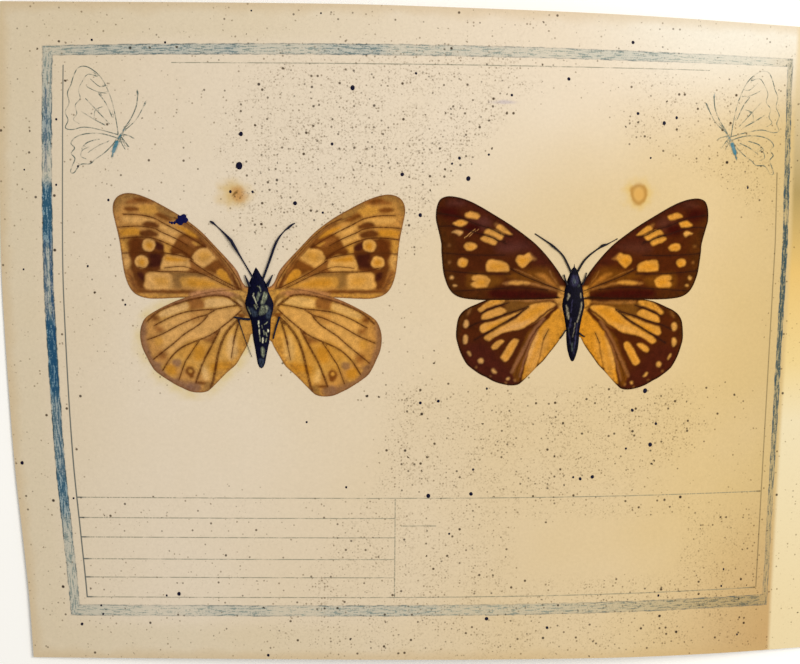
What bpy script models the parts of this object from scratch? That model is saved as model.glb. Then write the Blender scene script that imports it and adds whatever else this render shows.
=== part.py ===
"""An album leaf with two butterflies fixed flat on it: the left one shows its underside, the right
one its upperside.

Frame: metres, +Z up. The leaf lies face up. Its origin is the middle of its box, on the table, +X
runs to the page's right and +Y to its top. The leaf rests on its left edge and on the flat binding
strip along its right edge, and it bows up between them.

The outlines are in millimetres. Page outlines are measured from the middle of the printed page.
Wing outlines are measured from their butterfly's own axis: (out from the axis, up the page).
"""

import bisect
import math

import bmesh
import bpy
from mathutils import Vector

MM = 0.001

# the leaf
LEAF_THICKNESS = 0.45
PAGE_MIDDLE = (0.0, 0.7)  # of the printed page, from the middle of the leaf's box
RIGHT_EDGE = 129.5
LEFT_EDGE = [(-124.0, -91.0), (-124.5, -77.0), (-126.4, -51.0), (-127.7, -34.0), (-129.0, -3.0),
             (-129.5, 16.0), (-129.5, 27.0), (-128.8, 60.0), (-127.6, 91.0)]
BOTTOM_EDGE = [(-124.0, -90.9), (-50.0, -91.2), (10.0, -91.7), (60.0, -92.3), (129.5, -92.4)]
TOP_EDGE = [(-127.6, 90.9), (-40.0, 91.0), (0.0, 90.3), (40.0, 89.3), (85.0, 87.6), (129.5, 86.0)]
BOW = [(-129.5, 0.0), (-100.0, 2.15), (-60.0, 4.8), (-20.0, 6.9), (15.0, 7.65), (45.0, 6.95),
       (75.0, 4.6), (95.0, 2.1), (108.0, 0.55), (118.0, 0.0), (129.5, 0.0)]  # (x, height of the underside)
LEAF_COLUMNS = 48
LEAF_ROWS = 10

# what lies on the leaf, in layers
GAP = 0.3  # between any two pieces
WING_THICKNESS = 0.15
BODY_FLATNESS = 0.36  # a body's height over its half width
ANTENNA_RADIUS = 0.2
LEG_RADIUS = 0.16
CUT_SPACING = 6.0  # between the folds that let a flat wing follow the bow

LOWER_LAYER = GAP
UPPER_LAYER = LOWER_LAYER + WING_THICKNESS + GAP
LEG_LAYER = UPPER_LAYER + WING_THICKNESS + GAP

UNDERSIDE = {
    "axis": -59.3,
    "forewing": [(2.6, 14.0), (4.6, 16.2), (6.0, 19.3), (8.2, 22.1), (12.5, 26.7), (15.4, 29.8),
                 (18.4, 32.3), (21.9, 34.7), (27.2, 37.7), (30.1, 39.1), (33.3, 40.2), (36.0, 40.4),
                 (38.1, 39.6), (39.3, 38.0), (39.6, 35.8), (39.1, 33.0), (37.9, 27.3), (37.2, 21.4),
                 (36.6, 17.9), (35.5, 14.9), (33.9, 13.0), (31.5, 12.0), (28.3, 11.7), (20.1, 12.1),
                 (12.0, 12.2), (6.0, 12.3), (2.6, 12.6)],
    "hindwing": [(2.4, 12.8), (4.9, 14.1), (8.3, 14.3), (11.3, 14.1), (14.2, 13.6), (17.2, 12.9),
                 (21.4, 11.7), (25.6, 9.9), (29.3, 7.9), (31.4, 6.3), (32.4, 4.3), (32.8, 2.3),
                 (32.7, 0.1), (32.2, -2.0), (31.2, -4.2), (30.0, -6.6), (28.4, -8.7), (24.0, -11.7),
                 (21.3, -13.1), (19.2, -14.0), (16.9, -14.3), (14.8, -14.0), (13.3, -12.9),
                 (9.3, -8.8), (6.7, -6.5), (5.3, -4.2), (3.5, -1.0), (2.6, 1.9), (2.3, 4.0),
                 (2.4, 8.5)],
    "right_forewing": {"stretch": (1.035, 0.991), "lean": (-0.026, 0.007), "shift": (-0.4, 0.2)},
    "right_hindwing": {"stretch": (1.018, 1.045), "lean": (-0.033, -0.018), "shift": (0.1, 0.0)},
    "forewing_layer": LOWER_LAYER,
    "hindwing_layer": UPPER_LAYER,
    # (up the page, half width), from the head's tip to the tail
    "body": [(20.6, 0.0), (19.6, 0.6), (18.4, 1.15), (17.0, 1.9), (15.6, 2.55), (13.8, 2.95),
             (12.0, 3.6), (10.5, 3.95), (9.0, 3.75), (7.5, 3.25), (6.0, 2.8), (4.0, 2.6), (2.0, 2.45),
             (0.0, 2.15), (-2.0, 1.75), (-4.0, 1.4), (-6.0, 1.05), (-7.1, 0.6), (-7.5, 0.0)],
    # (up the page, the body's middle line from the axis)
    "body_line": [(20.6, -1.0), (14.0, -0.4), (9.0, 0.0), (3.0, 0.4), (-7.5, 0.3)],
    "left_antenna": [(-2.4, 17.8), (-5.1, 23.3), (-7.8, 27.9), (-9.8, 30.0), (-13.3, 33.0)],
    "right_antenna": [(1.0, 17.8), (3.0, 23.0), (4.2, 26.4), (5.4, 28.7), (6.9, 30.5), (9.7, 32.6)],
    # from the body outwards
    "legs": {
        "left_foreleg": [(-3.1, 15.8), (-3.5, 16.9), (-4.0, 18.4)],
        "right_foreleg": [(2.3, 15.8), (2.8, 16.9), (3.6, 18.5)],
        "left_midleg": [(-2.8, 5.8), (-4.8, 6.4), (-7.0, 6.8)],
        "right_midleg": [(3.6, 0.8), (4.4, 4.0), (5.4, 7.0)],
        "left_hindleg": [(-5.9, 6.2), (-4.7, 2.5), (-3.5, -0.9), (-2.2, -4.3)],
    },
}

UPPERSIDE = {
    "axis": 27.3,
    "forewing": [(2.2, 15.6), (3.5, 18.3), (5.1, 20.7), (7.4, 23.6), (9.8, 26.2), (12.4, 28.5),
                 (17.7, 32.3), (24.0, 36.1), (27.2, 37.9), (29.8, 39.1), (32.4, 39.9), (35.2, 40.2),
                 (37.2, 39.5), (38.1, 38.0), (38.5, 36.0), (38.5, 33.8), (38.0, 31.7), (37.0, 27.5),
                 (36.9, 25.1), (36.4, 19.9), (35.7, 17.2), (34.8, 15.1), (33.5, 13.5), (31.6, 12.5),
                 (28.7, 12.0), (24.5, 11.8), (14.0, 11.9), (6.0, 12.2), (2.2, 12.8)],
    "hindwing": [(2.2, 12.9), (10.0, 13.0), (18.0, 12.9), (23.4, 12.1), (27.4, 10.5), (29.4, 9.6),
                 (31.0, 8.4), (32.0, 6.8), (32.4, 4.9), (32.6, 1.8), (32.0, -0.8), (31.2, -3.1),
                 (30.1, -5.2), (28.9, -6.7), (26.0, -8.8), (24.0, -9.8), (22.0, -10.9),
                 (19.6, -11.7), (17.2, -12.1), (15.2, -11.9), (13.9, -11.0), (11.9, -9.0),
                 (10.0, -7.0), (8.1, -5.2), (6.5, -3.1), (5.0, -1.2), (3.6, 0.8), (2.5, 3.1),
                 (1.9, 5.5), (1.9, 9.5)],
    "right_forewing": {"stretch": (0.970, 0.990), "lean": (0.019, -0.004), "shift": (-0.1, 0.3)},
    "right_hindwing": {"stretch": (0.987, 1.029), "lean": (0.006, 0.0), "shift": (-0.4, -1.1)},
    "forewing_layer": UPPER_LAYER,
    "hindwing_layer": LOWER_LAYER,
    "body": [(22.0, 0.0), (20.9, 0.2), (20.5, 0.6), (19.5, 1.1), (18.5, 1.45), (17.0, 2.0),
             (15.0, 2.5), (13.0, 2.85), (11.0, 3.15), (10.0, 3.2), (8.5, 2.9), (7.0, 2.55), (5.0, 2.2),
             (3.0, 1.9), (0.0, 1.75), (-2.0, 1.5), (-4.0, 0.95), (-5.2, 0.45), (-5.5, 0.0)],
    "body_line": [(22.0, 0.0), (9.0, 0.0), (-5.5, 0.1)],
    "left_antenna": [(-1.4, 20.5), (-2.7, 23.2), (-4.1, 25.0), (-6.7, 27.0), (-9.0, 28.7),
                     (-11.2, 30.1)],
    "right_antenna": [(1.5, 20.5), (2.5, 22.4), (4.3, 24.3), (7.0, 26.2), (9.4, 27.4), (12.0, 28.8)],
    "legs": {
        "left_foreleg": [(-2.2, 16.4), (-2.5, 17.5), (-2.8, 18.7)],
        "right_foreleg": [(2.6, 16.4), (3.0, 17.7), (3.4, 19.3)],
        "left_hindleg": [(-2.2, 3.4), (-2.8, 2.1), (-3.4, 1.0)],
        "right_hindleg": [(2.3, 2.6), (2.8, 2.0), (3.4, 1.3)],
    },
}

PAPER = ("aged_paper", (0.66, 0.50, 0.30), 0.85)
UNDERSIDE_WING = ("underside_wing", (0.50, 0.25, 0.06), 0.6)
UPPERSIDE_WING = ("upperside_wing", (0.09, 0.03, 0.012), 0.6)
DRIED_BODY = ("dried_body", (0.012, 0.012, 0.03), 0.5)


def curve_through(points, x):
    """The height at x of a smooth curve through (x, height) points, level with its end slopes."""
    xs = [p[0] for p in points]
    i = min(max(bisect.bisect_right(xs, x) - 1, 0), len(points) - 2)

    def slope(k):
        low, high = max(k - 1, 0), min(k + 1, len(points) - 1)
        return (points[high][1] - points[low][1]) / (points[high][0] - points[low][0])

    (x0, z0), (x1, z1) = points[i], points[i + 1]
    width = x1 - x0
    t = min(max((x - x0) / width, 0.0), 1.0)
    return ((2 * t**3 - 3 * t**2 + 1) * z0 + (t**3 - 2 * t**2 + t) * width * slope(i)
            + (3 * t**2 - 2 * t**3) * z1 + (t**3 - t**2) * width * slope(i + 1))


def smooth_line(points, closed, steps):
    """Catmull-Rom points through the given ones, with so many steps to a span."""
    count = len(points)
    line = []
    for i in range(count if closed else count - 1):
        if closed:
            a, b, c, d = (points[(i + k) % count] for k in (-1, 0, 1, 2))
        else:
            a, b, c, d = (points[min(max(i + k, 0), count - 1)] for k in (-1, 0, 1, 2))
        for step in range(steps):
            t = step / steps
            line.append(tuple(
                0.5 * (2 * q + (r - p) * t + (2 * p - 5 * q + 4 * r - s) * t**2
                       + (3 * q - p - 3 * r + s) * t**3)
                for p, q, r, s in zip(a, b, c, d)))
    if not closed:
        line.append(tuple(points[-1]))
    return line


def underside_height(x):
    """The height of the leaf's underside, in mm, at x mm from the leaf's middle."""
    return max(curve_through(BOW, x), 0.0)


def paper_height(x):
    """The height of the leaf's face."""
    step = 0.5
    slope = (underside_height(x + step) - underside_height(x - step)) / (2 * step)
    return underside_height(x) + LEAF_THICKNESS * math.hypot(1.0, slope)


def on_leaf(x, y, height):
    """A point so high above the leaf's face, from page coordinates in mm, in metres."""
    row_x = x + PAGE_MIDDLE[0]
    return Vector((row_x, y + PAGE_MIDDLE[1], paper_height(row_x) + height)) * MM


def material(recipe):
    name, color, roughness = recipe
    found = bpy.data.materials.get(name)
    if found:
        return found
    new = bpy.data.materials.new(name)
    new.use_nodes = True
    shader = new.node_tree.nodes["Principled BSDF"]
    shader.inputs["Base Color"].default_value = (*color, 1.0)
    shader.inputs["Roughness"].default_value = roughness
    return new


def add_piece(name, data, recipe):
    piece = bpy.data.objects.new(name, data)
    data.materials.clear()
    data.materials.append(material(recipe))
    collection.objects.link(piece)
    return piece


def evaluated_mesh(guide):
    """The mesh that a guide object evaluates to, and the guide is removed."""
    collection.objects.link(guide)
    depsgraph = bpy.context.evaluated_depsgraph_get()
    mesh = bpy.data.meshes.new_from_object(guide.evaluated_get(depsgraph))
    bpy.data.objects.remove(guide)
    return mesh


def make_leaf():
    """A grid laid between the page's edges, bowed, and thickened upwards."""
    grid = bmesh.new()
    bmesh.ops.create_grid(grid, x_segments=LEAF_COLUMNS, y_segments=LEAF_ROWS, size=0.5)
    left_by_height = [(y, x) for x, y in LEFT_EDGE]
    for vert in grid.verts:
        across, along = vert.co.x + 0.5, vert.co.y + 0.5
        rough_y = BOTTOM_EDGE[0][1] + along * (TOP_EDGE[0][1] - BOTTOM_EDGE[0][1])
        left = curve_through(left_by_height, rough_y)
        x = left + across * (RIGHT_EDGE - left)
        low, high = curve_through(BOTTOM_EDGE, x), curve_through(TOP_EDGE, x)
        row_x = x + PAGE_MIDDLE[0]
        y = low + along * (high - low) + PAGE_MIDDLE[1]
        vert.co = Vector((row_x, y, underside_height(row_x))) * MM
    mesh = bpy.data.meshes.new("album_leaf")
    grid.to_mesh(mesh)
    grid.free()
    leaf = add_piece("album_leaf", mesh, PAPER)
    solidify = leaf.modifiers.new("thickness", "SOLIDIFY")
    solidify.thickness = LEAF_THICKNESS * MM
    solidify.offset = 1.0


def flat_plate(outline, thickness):
    """A closed plate, in mm, with its underside at z = 0."""
    curve = bpy.data.curves.new("outline", "CURVE")
    curve.dimensions = "2D"
    curve.fill_mode = "BOTH"
    curve.extrude = thickness / 2
    spline = curve.splines.new("POLY")
    spline.points.add(len(outline) - 1)
    for point, (x, y) in zip(spline.points, outline):
        point.co = (x, y, 0.0, 1.0)
    spline.use_cyclic_u = True
    mesh = evaluated_mesh(bpy.data.objects.new("outline", curve))
    plate = bmesh.new()
    plate.from_mesh(mesh)
    bpy.data.meshes.remove(mesh)
    bmesh.ops.remove_doubles(plate, verts=plate.verts, dist=0.001)
    bmesh.ops.translate(plate, verts=plate.verts, vec=(0.0, 0.0, thickness / 2))
    return plate


def body_middle(butterfly, y):
    """The x of a body's middle line, on the page."""
    line = sorted(butterfly["body_line"])
    return butterfly["axis"] + curve_through(line, y)


def body_outline(butterfly, margin):
    """The outline of a body in plan, grown by a margin."""
    profile = butterfly["body"]
    top, bottom = profile[0][0] + margin, profile[-1][0] - margin
    sides = [(min(max(y, bottom), top), width + margin) for y, width in profile[1:-1]]
    right = [(body_middle(butterfly, y) + width, y) for y, width in sides]
    left = [(body_middle(butterfly, y) - width, y) for y, width in reversed(sides)]
    tip, tail = (body_middle(butterfly, top), top), (body_middle(butterfly, bottom), bottom)
    return [tip] + right + [tail] + left


def cut_clear_of_body(plate, butterfly):
    """Cuts the body's outline, with its gap, out of a flat plate."""
    wing = bpy.data.meshes.new("wing")
    plate.to_mesh(wing)
    plate.free()
    cutter_mesh = bpy.data.meshes.new("cutter")
    prism = flat_plate(body_outline(butterfly, GAP), 4.0)
    bmesh.ops.translate(prism, verts=prism.verts, vec=(0.0, 0.0, -2.0))
    prism.to_mesh(cutter_mesh)
    prism.free()
    cutter = bpy.data.objects.new("body_cutter", cutter_mesh)
    cutter.hide_render = True
    cutter.display_type = "WIRE"
    cutters.objects.link(cutter)
    guide = bpy.data.objects.new("wing", wing)
    boolean = guide.modifiers.new("clear_of_body", "BOOLEAN")
    boolean.operation = "DIFFERENCE"
    boolean.object = cutter
    mesh = evaluated_mesh(guide)
    bpy.data.objects.remove(cutter)
    cut = bmesh.new()
    cut.from_mesh(mesh)
    bpy.data.meshes.remove(mesh)
    keep_largest(cut)
    return cut


def keep_largest(shape):
    """Drops the slivers that a cut leaves across the body."""
    waiting = set(shape.verts)
    islands = []
    while waiting:
        island, edge_of_island = set(), [waiting.pop()]
        while edge_of_island:
            vert = edge_of_island.pop()
            island.add(vert)
            near = {edge.other_vert(vert) for edge in vert.link_edges} & waiting
            waiting -= near
            edge_of_island.extend(near)
        islands.append(island)
    largest = max(islands, key=len)
    loose = [vert for vert in shape.verts if vert not in largest]
    bmesh.ops.delete(shape, geom=loose, context="VERTS")


def fold_to_bow(shape):
    """Cuts a flat shape across at even steps, so that it can follow the bow."""
    xs = [vert.co.x for vert in shape.verts]
    x = math.ceil(min(xs) / CUT_SPACING) * CUT_SPACING
    while x < max(xs):
        geometry = shape.verts[:] + shape.edges[:] + shape.faces[:]
        bmesh.ops.bisect_plane(shape, geom=geometry, dist=0.01, plane_co=(x, 0.0, 0.0),
                               plane_no=(1.0, 0.0, 0.0))
        x += CUT_SPACING


def add_draped(name, shape, layer, recipe):
    """Lays a flat shape in mm over the bowed leaf, as a piece."""
    for vert in shape.verts:
        vert.co = on_leaf(vert.co.x, vert.co.y, vert.co.z + layer)
    mesh = bpy.data.meshes.new(name)
    shape.to_mesh(mesh)
    shape.free()
    return add_piece(name, mesh, recipe)


def make_wing(name, butterfly, kind, side, recipe):
    """A wing from its outline: the left one as measured, the right one mirrored and fitted."""
    outline = butterfly[kind]
    if side == "left":
        points = [(butterfly["axis"] - out, up) for out, up in outline]
    else:
        fit = butterfly["right_" + kind]
        points = [(butterfly["axis"] + fit["stretch"][0] * out + fit["lean"][0] * up + fit["shift"][0],
                   fit["stretch"][1] * up + fit["lean"][1] * out + fit["shift"][1])
                  for out, up in outline]
    plate = flat_plate(smooth_line(points, closed=True, steps=3), WING_THICKNESS)
    plate = cut_clear_of_body(plate, butterfly)
    fold_to_bow(plate)
    add_draped(name, plate, butterfly[kind + "_layer"], recipe)


def make_body(name, butterfly):
    """A body in low relief: a turned shape, flattened, with its lower half cut away."""
    mesh = bpy.data.meshes.new("profile")
    profile = bmesh.new()
    previous = None
    for y, width in butterfly["body"]:
        vert = profile.verts.new((width, y, 0.0))
        if previous:
            profile.edges.new((previous, vert))
        previous = vert
    profile.to_mesh(mesh)
    profile.free()
    guide = bpy.data.objects.new("profile", mesh)
    screw = guide.modifiers.new("turn", "SCREW")
    screw.axis = "Y"
    screw.steps = screw.render_steps = 20
    screw.use_merge_vertices = True
    screw.merge_threshold = 0.0001
    turned = evaluated_mesh(guide)
    body = bmesh.new()
    body.from_mesh(turned)
    bpy.data.meshes.remove(turned)
    bmesh.ops.remove_doubles(body, verts=body.verts, dist=0.0001)
    bmesh.ops.scale(body, verts=body.verts, vec=(1.0, 1.0, BODY_FLATNESS))
    geometry = body.verts[:] + body.edges[:] + body.faces[:]
    cut = bmesh.ops.bisect_plane(body, geom=geometry, dist=0.001, plane_co=(0.0, 0.0, 0.0),
                                 plane_no=(0.0, 0.0, 1.0), clear_inner=True)
    rim = [item for item in cut["geom_cut"] if isinstance(item, bmesh.types.BMEdge)]
    bmesh.ops.contextual_create(body, geom=rim)
    bmesh.ops.recalc_face_normals(body, faces=body.faces)
    for vert in body.verts:
        vert.co.x += body_middle(butterfly, vert.co.y)
    add_draped(name, body, GAP, DRIED_BODY).data.shade_smooth()


def make_tube(name, points, radii, layer):
    """A thin round limb along smooth points on the page, lying over the leaf."""
    line = smooth_line(points, closed=False, steps=3)
    curve = bpy.data.curves.new(name, "CURVE")
    curve.dimensions = "3D"
    curve.bevel_depth = max(radii) * MM
    curve.bevel_resolution = 2
    curve.use_fill_caps = True
    spline = curve.splines.new("POLY")
    spline.points.add(len(line) - 1)
    for i, (point, (x, y)) in enumerate(zip(spline.points, line)):
        place = i / (len(line) - 1) * (len(radii) - 1)
        low = min(int(place), len(radii) - 2)
        radius = radii[low] + (radii[low + 1] - radii[low]) * (place - low)
        point.co = (*on_leaf(x, y, layer + max(radii)), 1.0)
        point.radius = radius / max(radii)
    add_piece(name, curve, DRIED_BODY)


def make_butterfly(label, butterfly, recipe):
    for side in ("left", "right"):
        for kind in ("forewing", "hindwing"):
            make_wing(f"{label}_{side}_{kind}", butterfly, kind, side, recipe)
        antenna = [(butterfly["axis"] + x, y) for x, y in butterfly[side + "_antenna"]]
        club = [ANTENNA_RADIUS, ANTENNA_RADIUS, ANTENNA_RADIUS * 1.4, ANTENNA_RADIUS]
        make_tube(f"{label}_{side}_antenna", antenna, club, GAP)
    make_body(f"{label}_body", butterfly)
    for leg, points in butterfly["legs"].items():
        placed = [(butterfly["axis"] + x, y) for x, y in points]
        make_tube(f"{label}_{leg}", placed, [LEG_RADIUS, LEG_RADIUS * 0.6], LEG_LAYER)


for old in list(bpy.data.objects):
    bpy.data.objects.remove(old)
collection = bpy.data.collections.new("butterfly_album_leaf")
cutters = bpy.data.collections.new("cutters")
bpy.context.scene.collection.children.link(collection)
bpy.context.scene.collection.children.link(cutters)

make_leaf()
make_butterfly("underside", UNDERSIDE, UNDERSIDE_WING)
make_butterfly("upperside", UPPERSIDE, UPPERSIDE_WING)
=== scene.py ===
import math

import bmesh
import bpy
import numpy as np
from mathutils import Matrix, Vector, noise
from mathutils.bvhtree import BVHTree


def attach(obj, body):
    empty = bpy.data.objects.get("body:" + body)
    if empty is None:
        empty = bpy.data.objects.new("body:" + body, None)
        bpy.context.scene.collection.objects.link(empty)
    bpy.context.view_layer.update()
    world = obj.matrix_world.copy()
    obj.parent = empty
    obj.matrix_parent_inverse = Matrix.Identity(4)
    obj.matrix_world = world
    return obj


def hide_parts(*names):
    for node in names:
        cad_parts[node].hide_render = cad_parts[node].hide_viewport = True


# An album leaf with two butterflies fixed flat on it. Places on the leaf are in mm from the middle of
# the printed page, x to its right and y to its top, as they were measured. The scene is in metres.

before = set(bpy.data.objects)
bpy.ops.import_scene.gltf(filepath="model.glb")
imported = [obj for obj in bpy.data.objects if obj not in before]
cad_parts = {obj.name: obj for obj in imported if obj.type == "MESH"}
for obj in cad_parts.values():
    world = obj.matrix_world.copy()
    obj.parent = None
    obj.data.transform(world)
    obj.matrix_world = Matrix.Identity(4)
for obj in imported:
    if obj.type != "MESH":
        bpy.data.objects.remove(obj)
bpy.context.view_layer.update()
mm = 0.001
pageMiddle = np.array([0.0, 0.7])  # mm, of the printed page, from the middle of the leaf's box
print("frame loaded:", len(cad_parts), "nodes")


# the camera, where the photograph was taken from, and a soft light from the upper right

camera = {
    "place": (-46.74, 46.84, 348.42),  # mm, in the frame
    "turn": (-7.232, -4.312, -0.114),  # degrees about x, y and z
    "lens": 56.25,
}
eye = bpy.data.objects.new("camera", bpy.data.cameras.new("camera"))
eye.data.lens = camera["lens"]
eye.data.clip_start = 0.01
eye.matrix_world = Matrix.Translation(Vector(camera["place"]) * mm)
for turn, axis in zip(camera["turn"], "XYZ"):
    eye.matrix_world = eye.matrix_world @ Matrix.Rotation(math.radians(turn), 4, axis)
bpy.context.scene.collection.objects.link(eye)
bpy.context.scene.camera = eye
bpy.context.scene.view_settings.view_transform = "Standard"

light = {
    "sky": 0.595,  # strength of the light from all round
    "skyColour": (1.0, 0.99, 0.97, 1.0),
    "softboxPlace": (430.0, 195.0, 560.0),  # mm
    "softboxAim": (20.0, 10.0, 5.0),
    "softboxWidth": 360.0,
    "softboxPower": 4.5,  # W
    "softboxColour": (1.0, 0.97, 0.93),
}
sky = bpy.data.worlds.new("studio")
sky.use_nodes = True
background = sky.node_tree.nodes["Background"].inputs
background["Color"].default_value = light["skyColour"]
background["Strength"].default_value = light["sky"]
bpy.context.scene.world = sky
softbox = bpy.data.objects.new("softbox", bpy.data.lights.new("softbox", "AREA"))
softbox.data.size = light["softboxWidth"] * mm
softbox.data.energy = light["softboxPower"]
softbox.data.color = light["softboxColour"]
softbox.location = Vector(light["softboxPlace"]) * mm
aim = Vector(light["softboxAim"]) - Vector(light["softboxPlace"])
softbox.rotation_euler = aim.to_track_quat("-Z", "Y").to_euler()
bpy.context.scene.collection.objects.link(softbox)
print("camera and light set")


# shapes in plan are arrays of (x, y) in mm

def smoothThrough(xs, ys):
    # a cubic curve through the points
    xs, ys = np.asarray(xs, float), np.asarray(ys, float)
    slopes = np.gradient(ys, xs)

    def curve(x):
        x = np.clip(x, xs[0], xs[-1])
        i = np.clip(np.searchsorted(xs, x, side="right") - 1, 0, len(xs) - 2)
        width = xs[i + 1] - xs[i]
        t = (x - xs[i]) / width
        return ((2 * t**3 - 3 * t**2 + 1) * ys[i] + (t**3 - 2 * t**2 + t) * width * slopes[i]
                + (3 * t**2 - 2 * t**3) * ys[i + 1] + (t**3 - t**2) * width * slopes[i + 1])

    return curve


def smoothStep(low, high, values):
    t = np.clip((values - low) / (high - low), 0.0, 1.0)
    return t * t * (3 - 2 * t)


def roundOff(points, closed, steps=4):
    # more points on a smooth line through the given ones
    points = np.asarray(points, float)
    count = len(points)
    spans = np.arange(count if closed else count - 1)
    near = [spans + k for k in (-1, 0, 1, 2)]
    near = [n % count if closed else np.clip(n, 0, count - 1) for n in near]
    a, b, c, d = (points[n][:, None] for n in near)
    t = (np.arange(steps) / steps)[None, :, None]
    line = 0.5 * (2 * b + (c - a) * t + (2 * a - 5 * b + 4 * c - d) * t**2 + (3 * b - a - 3 * c + d) * t**3)
    line = line.reshape(-1, 2)
    return line if closed else np.vstack([line, points[-1]])


def nearestOnLine(spots, line):
    # for each spot: the nearest point of an open line, how far it is, and which side the spot is on
    start, along = line[:-1], np.diff(line, axis=0)
    offset = spots[:, None] - start[None]
    share = np.clip((offset * along).sum(-1) / np.maximum((along**2).sum(-1), 1e-12), 0.0, 1.0)
    gap = offset - share[..., None] * along
    distance = np.hypot(gap[..., 0], gap[..., 1])
    nearest = distance.argmin(1)
    row = np.arange(len(spots))
    turn = along[nearest, 0] * offset[row, nearest, 1] - along[nearest, 1] * offset[row, nearest, 0]
    return spots - gap[row, nearest], distance[row, nearest], np.where(turn < 0, -1.0, 1.0)


def insideDistance(spots, outline):
    # mm inside a closed outline, and outside is negative
    around = np.vstack([outline, outline[:1]])
    distance = nearestOnLine(spots, around)[1]
    (x0, y0), (x1, y1) = around[:-1].T, around[1:].T
    crosses = (y0 > spots[:, 1:]) != (y1 > spots[:, 1:])
    with np.errstate(divide="ignore", invalid="ignore"):
        where = x0 + (spots[:, 1:] - y0) * (x1 - x0) / (y1 - y0)
    inside = (crosses & (spots[:, :1] < where)).sum(1) % 2 == 1
    return np.where(inside, distance, -distance)


def cadSheet(name, lowestNormal):
    # a merged copy of a CAD node without the faces that look down
    sheet = bmesh.new()
    sheet.from_mesh(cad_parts[name].data)
    bmesh.ops.remove_doubles(sheet, verts=sheet.verts, dist=0.00001)
    sheet.normal_update()
    under = [face for face in sheet.faces if face.normal.z < lowestNormal]
    bmesh.ops.delete(sheet, geom=under, context="FACES")
    return sheet


def outlineOf(sheet):
    # the edge of a sheet in plan, one point after the other, on the page
    beside = {vert: [edge.other_vert(vert) for edge in vert.link_edges if edge.is_boundary]
              for vert in sheet.verts}
    start = next(vert for vert in sheet.verts if beside[vert])
    loop, previous = [start], None
    while len(loop) < len(sheet.verts):
        onward = next(vert for vert in beside[loop[-1]] if vert is not previous)
        if onward is start:
            break
        previous = loop[-1]
        loop.append(onward)
    return np.array([vert.co.xy for vert in loop]) / mm - pageMiddle


def trimmedGrid(outline, cell):
    # a flat square grid cut to an outline, its border vertices laid on the outline
    low, high = outline.min(0) - cell, outline.max(0) + cell
    columns, rows = (int(n) for n in np.ceil((high - low) / cell))
    sheet = bmesh.new()
    bmesh.ops.create_grid(sheet, x_segments=columns, y_segments=rows, size=0.5)
    bmesh.ops.scale(sheet, verts=sheet.verts, vec=(*(high - low), 1.0))
    bmesh.ops.translate(sheet, verts=sheet.verts, vec=(*((low + high) / 2), 0.0))
    depth = insideDistance(np.array([vert.co.xy for vert in sheet.verts]), outline)
    outside = [vert for vert, inside in zip(sheet.verts, depth) if inside < -0.45 * cell]  # nearer ones stay
    bmesh.ops.delete(sheet, geom=outside, context="VERTS")
    loose = [vert for vert in sheet.verts if not vert.link_faces]
    bmesh.ops.delete(sheet, geom=loose, context="VERTS")
    border = [vert for vert in sheet.verts if vert.is_boundary]
    around = np.vstack([outline, outline[:1]])
    for vert, (x, y) in zip(border, nearestOnLine(np.array([v.co.xy for v in border]), around)[0]):
        vert.co.x, vert.co.y = x, y
    return sheet


def flatPlaces(sheet):
    return np.array([vert.co.xy for vert in sheet.verts])


def meshFrom(sheet, name):
    mesh = bpy.data.meshes.new(name)
    sheet.to_mesh(mesh)
    sheet.free()
    return mesh


def setAttribute(mesh, name, values):
    flat = values.ndim == 1
    layer = mesh.attributes.new(name, "FLOAT" if flat else "FLOAT_VECTOR", "POINT")
    layer.data.foreach_set("value" if flat else "vector", values.astype(np.float32).ravel())


def addPiece(name, mesh, materials, replaced=()):
    piece = bpy.data.objects.new(name, mesh)
    bpy.context.scene.collection.objects.link(piece)
    mesh.materials.clear()
    for material in materials:
        mesh.materials.append(material)
    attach(piece, "root")
    if replaced:
        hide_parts(*replaced)
    return piece


def thicken(piece, thickness):
    wall = piece.modifiers.new("thickness", "SOLIDIFY")
    wall.thickness = thickness * mm
    wall.offset = -1.0
    return wall


def colour(hexValue):
    # an sRGB hex value as linear RGBA
    parts = [int(hexValue[i:i + 2], 16) / 255 for i in range(1, len(hexValue), 2)]
    linear = [c / 12.92 if c <= 0.04045 else ((c + 0.055) / 1.055)**2.4 for c in parts[:3]]
    return (*linear, parts[3] if len(parts) > 3 else 1.0)


def newMaterial(name, roughness, specular=0.5):
    material = bpy.data.materials.new(name)
    material.use_nodes = True
    shader = material.node_tree.nodes["Principled BSDF"]
    shader.inputs["Roughness"].default_value = roughness
    shader.inputs["Specular IOR Level"].default_value = specular
    return material, material.node_tree, shader


# settings that most nodes of a kind share, and two that come often
usual = {"Mix": {"data_type": "RGBA"}, "Math": {"operation": "MULTIPLY"},
         "VectorMath": {"operation": "MULTIPLY"}}
smooth = {"interpolation_type": "SMOOTHSTEP"}
multiplied = {"blend_type": "MULTIPLY"}


def node(tree, kind, inputs, output=None, stops=None, **settings):
    # Adds a node, fills or links its inputs, and gives back one of its outputs. A Map Range has the value,
    # two ends that it comes from and two that it goes to, and a Mix goes by input 0 from 6 to 7.
    made = tree.nodes.new("ShaderNode" + kind)
    for name, value in {**usual.get(kind, {}), **settings}.items():
        setattr(made, name, value)
    for key, value in inputs.items() if isinstance(inputs, dict) else enumerate(inputs):
        if isinstance(value, bpy.types.NodeSocket):
            tree.links.new(value, made.inputs[key])
        else:
            made.inputs[key].default_value = value
    if stops:
        ramp = made.color_ramp
        while len(ramp.elements) < len(stops):
            ramp.elements.new(0.5)
        for element, (place, hexValue) in zip(ramp.elements, stops):
            element.position = place
            element.color = colour(hexValue)
    if output is None:
        output = 2 if kind == "Mix" else 0
    return made.outputs[output]


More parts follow.
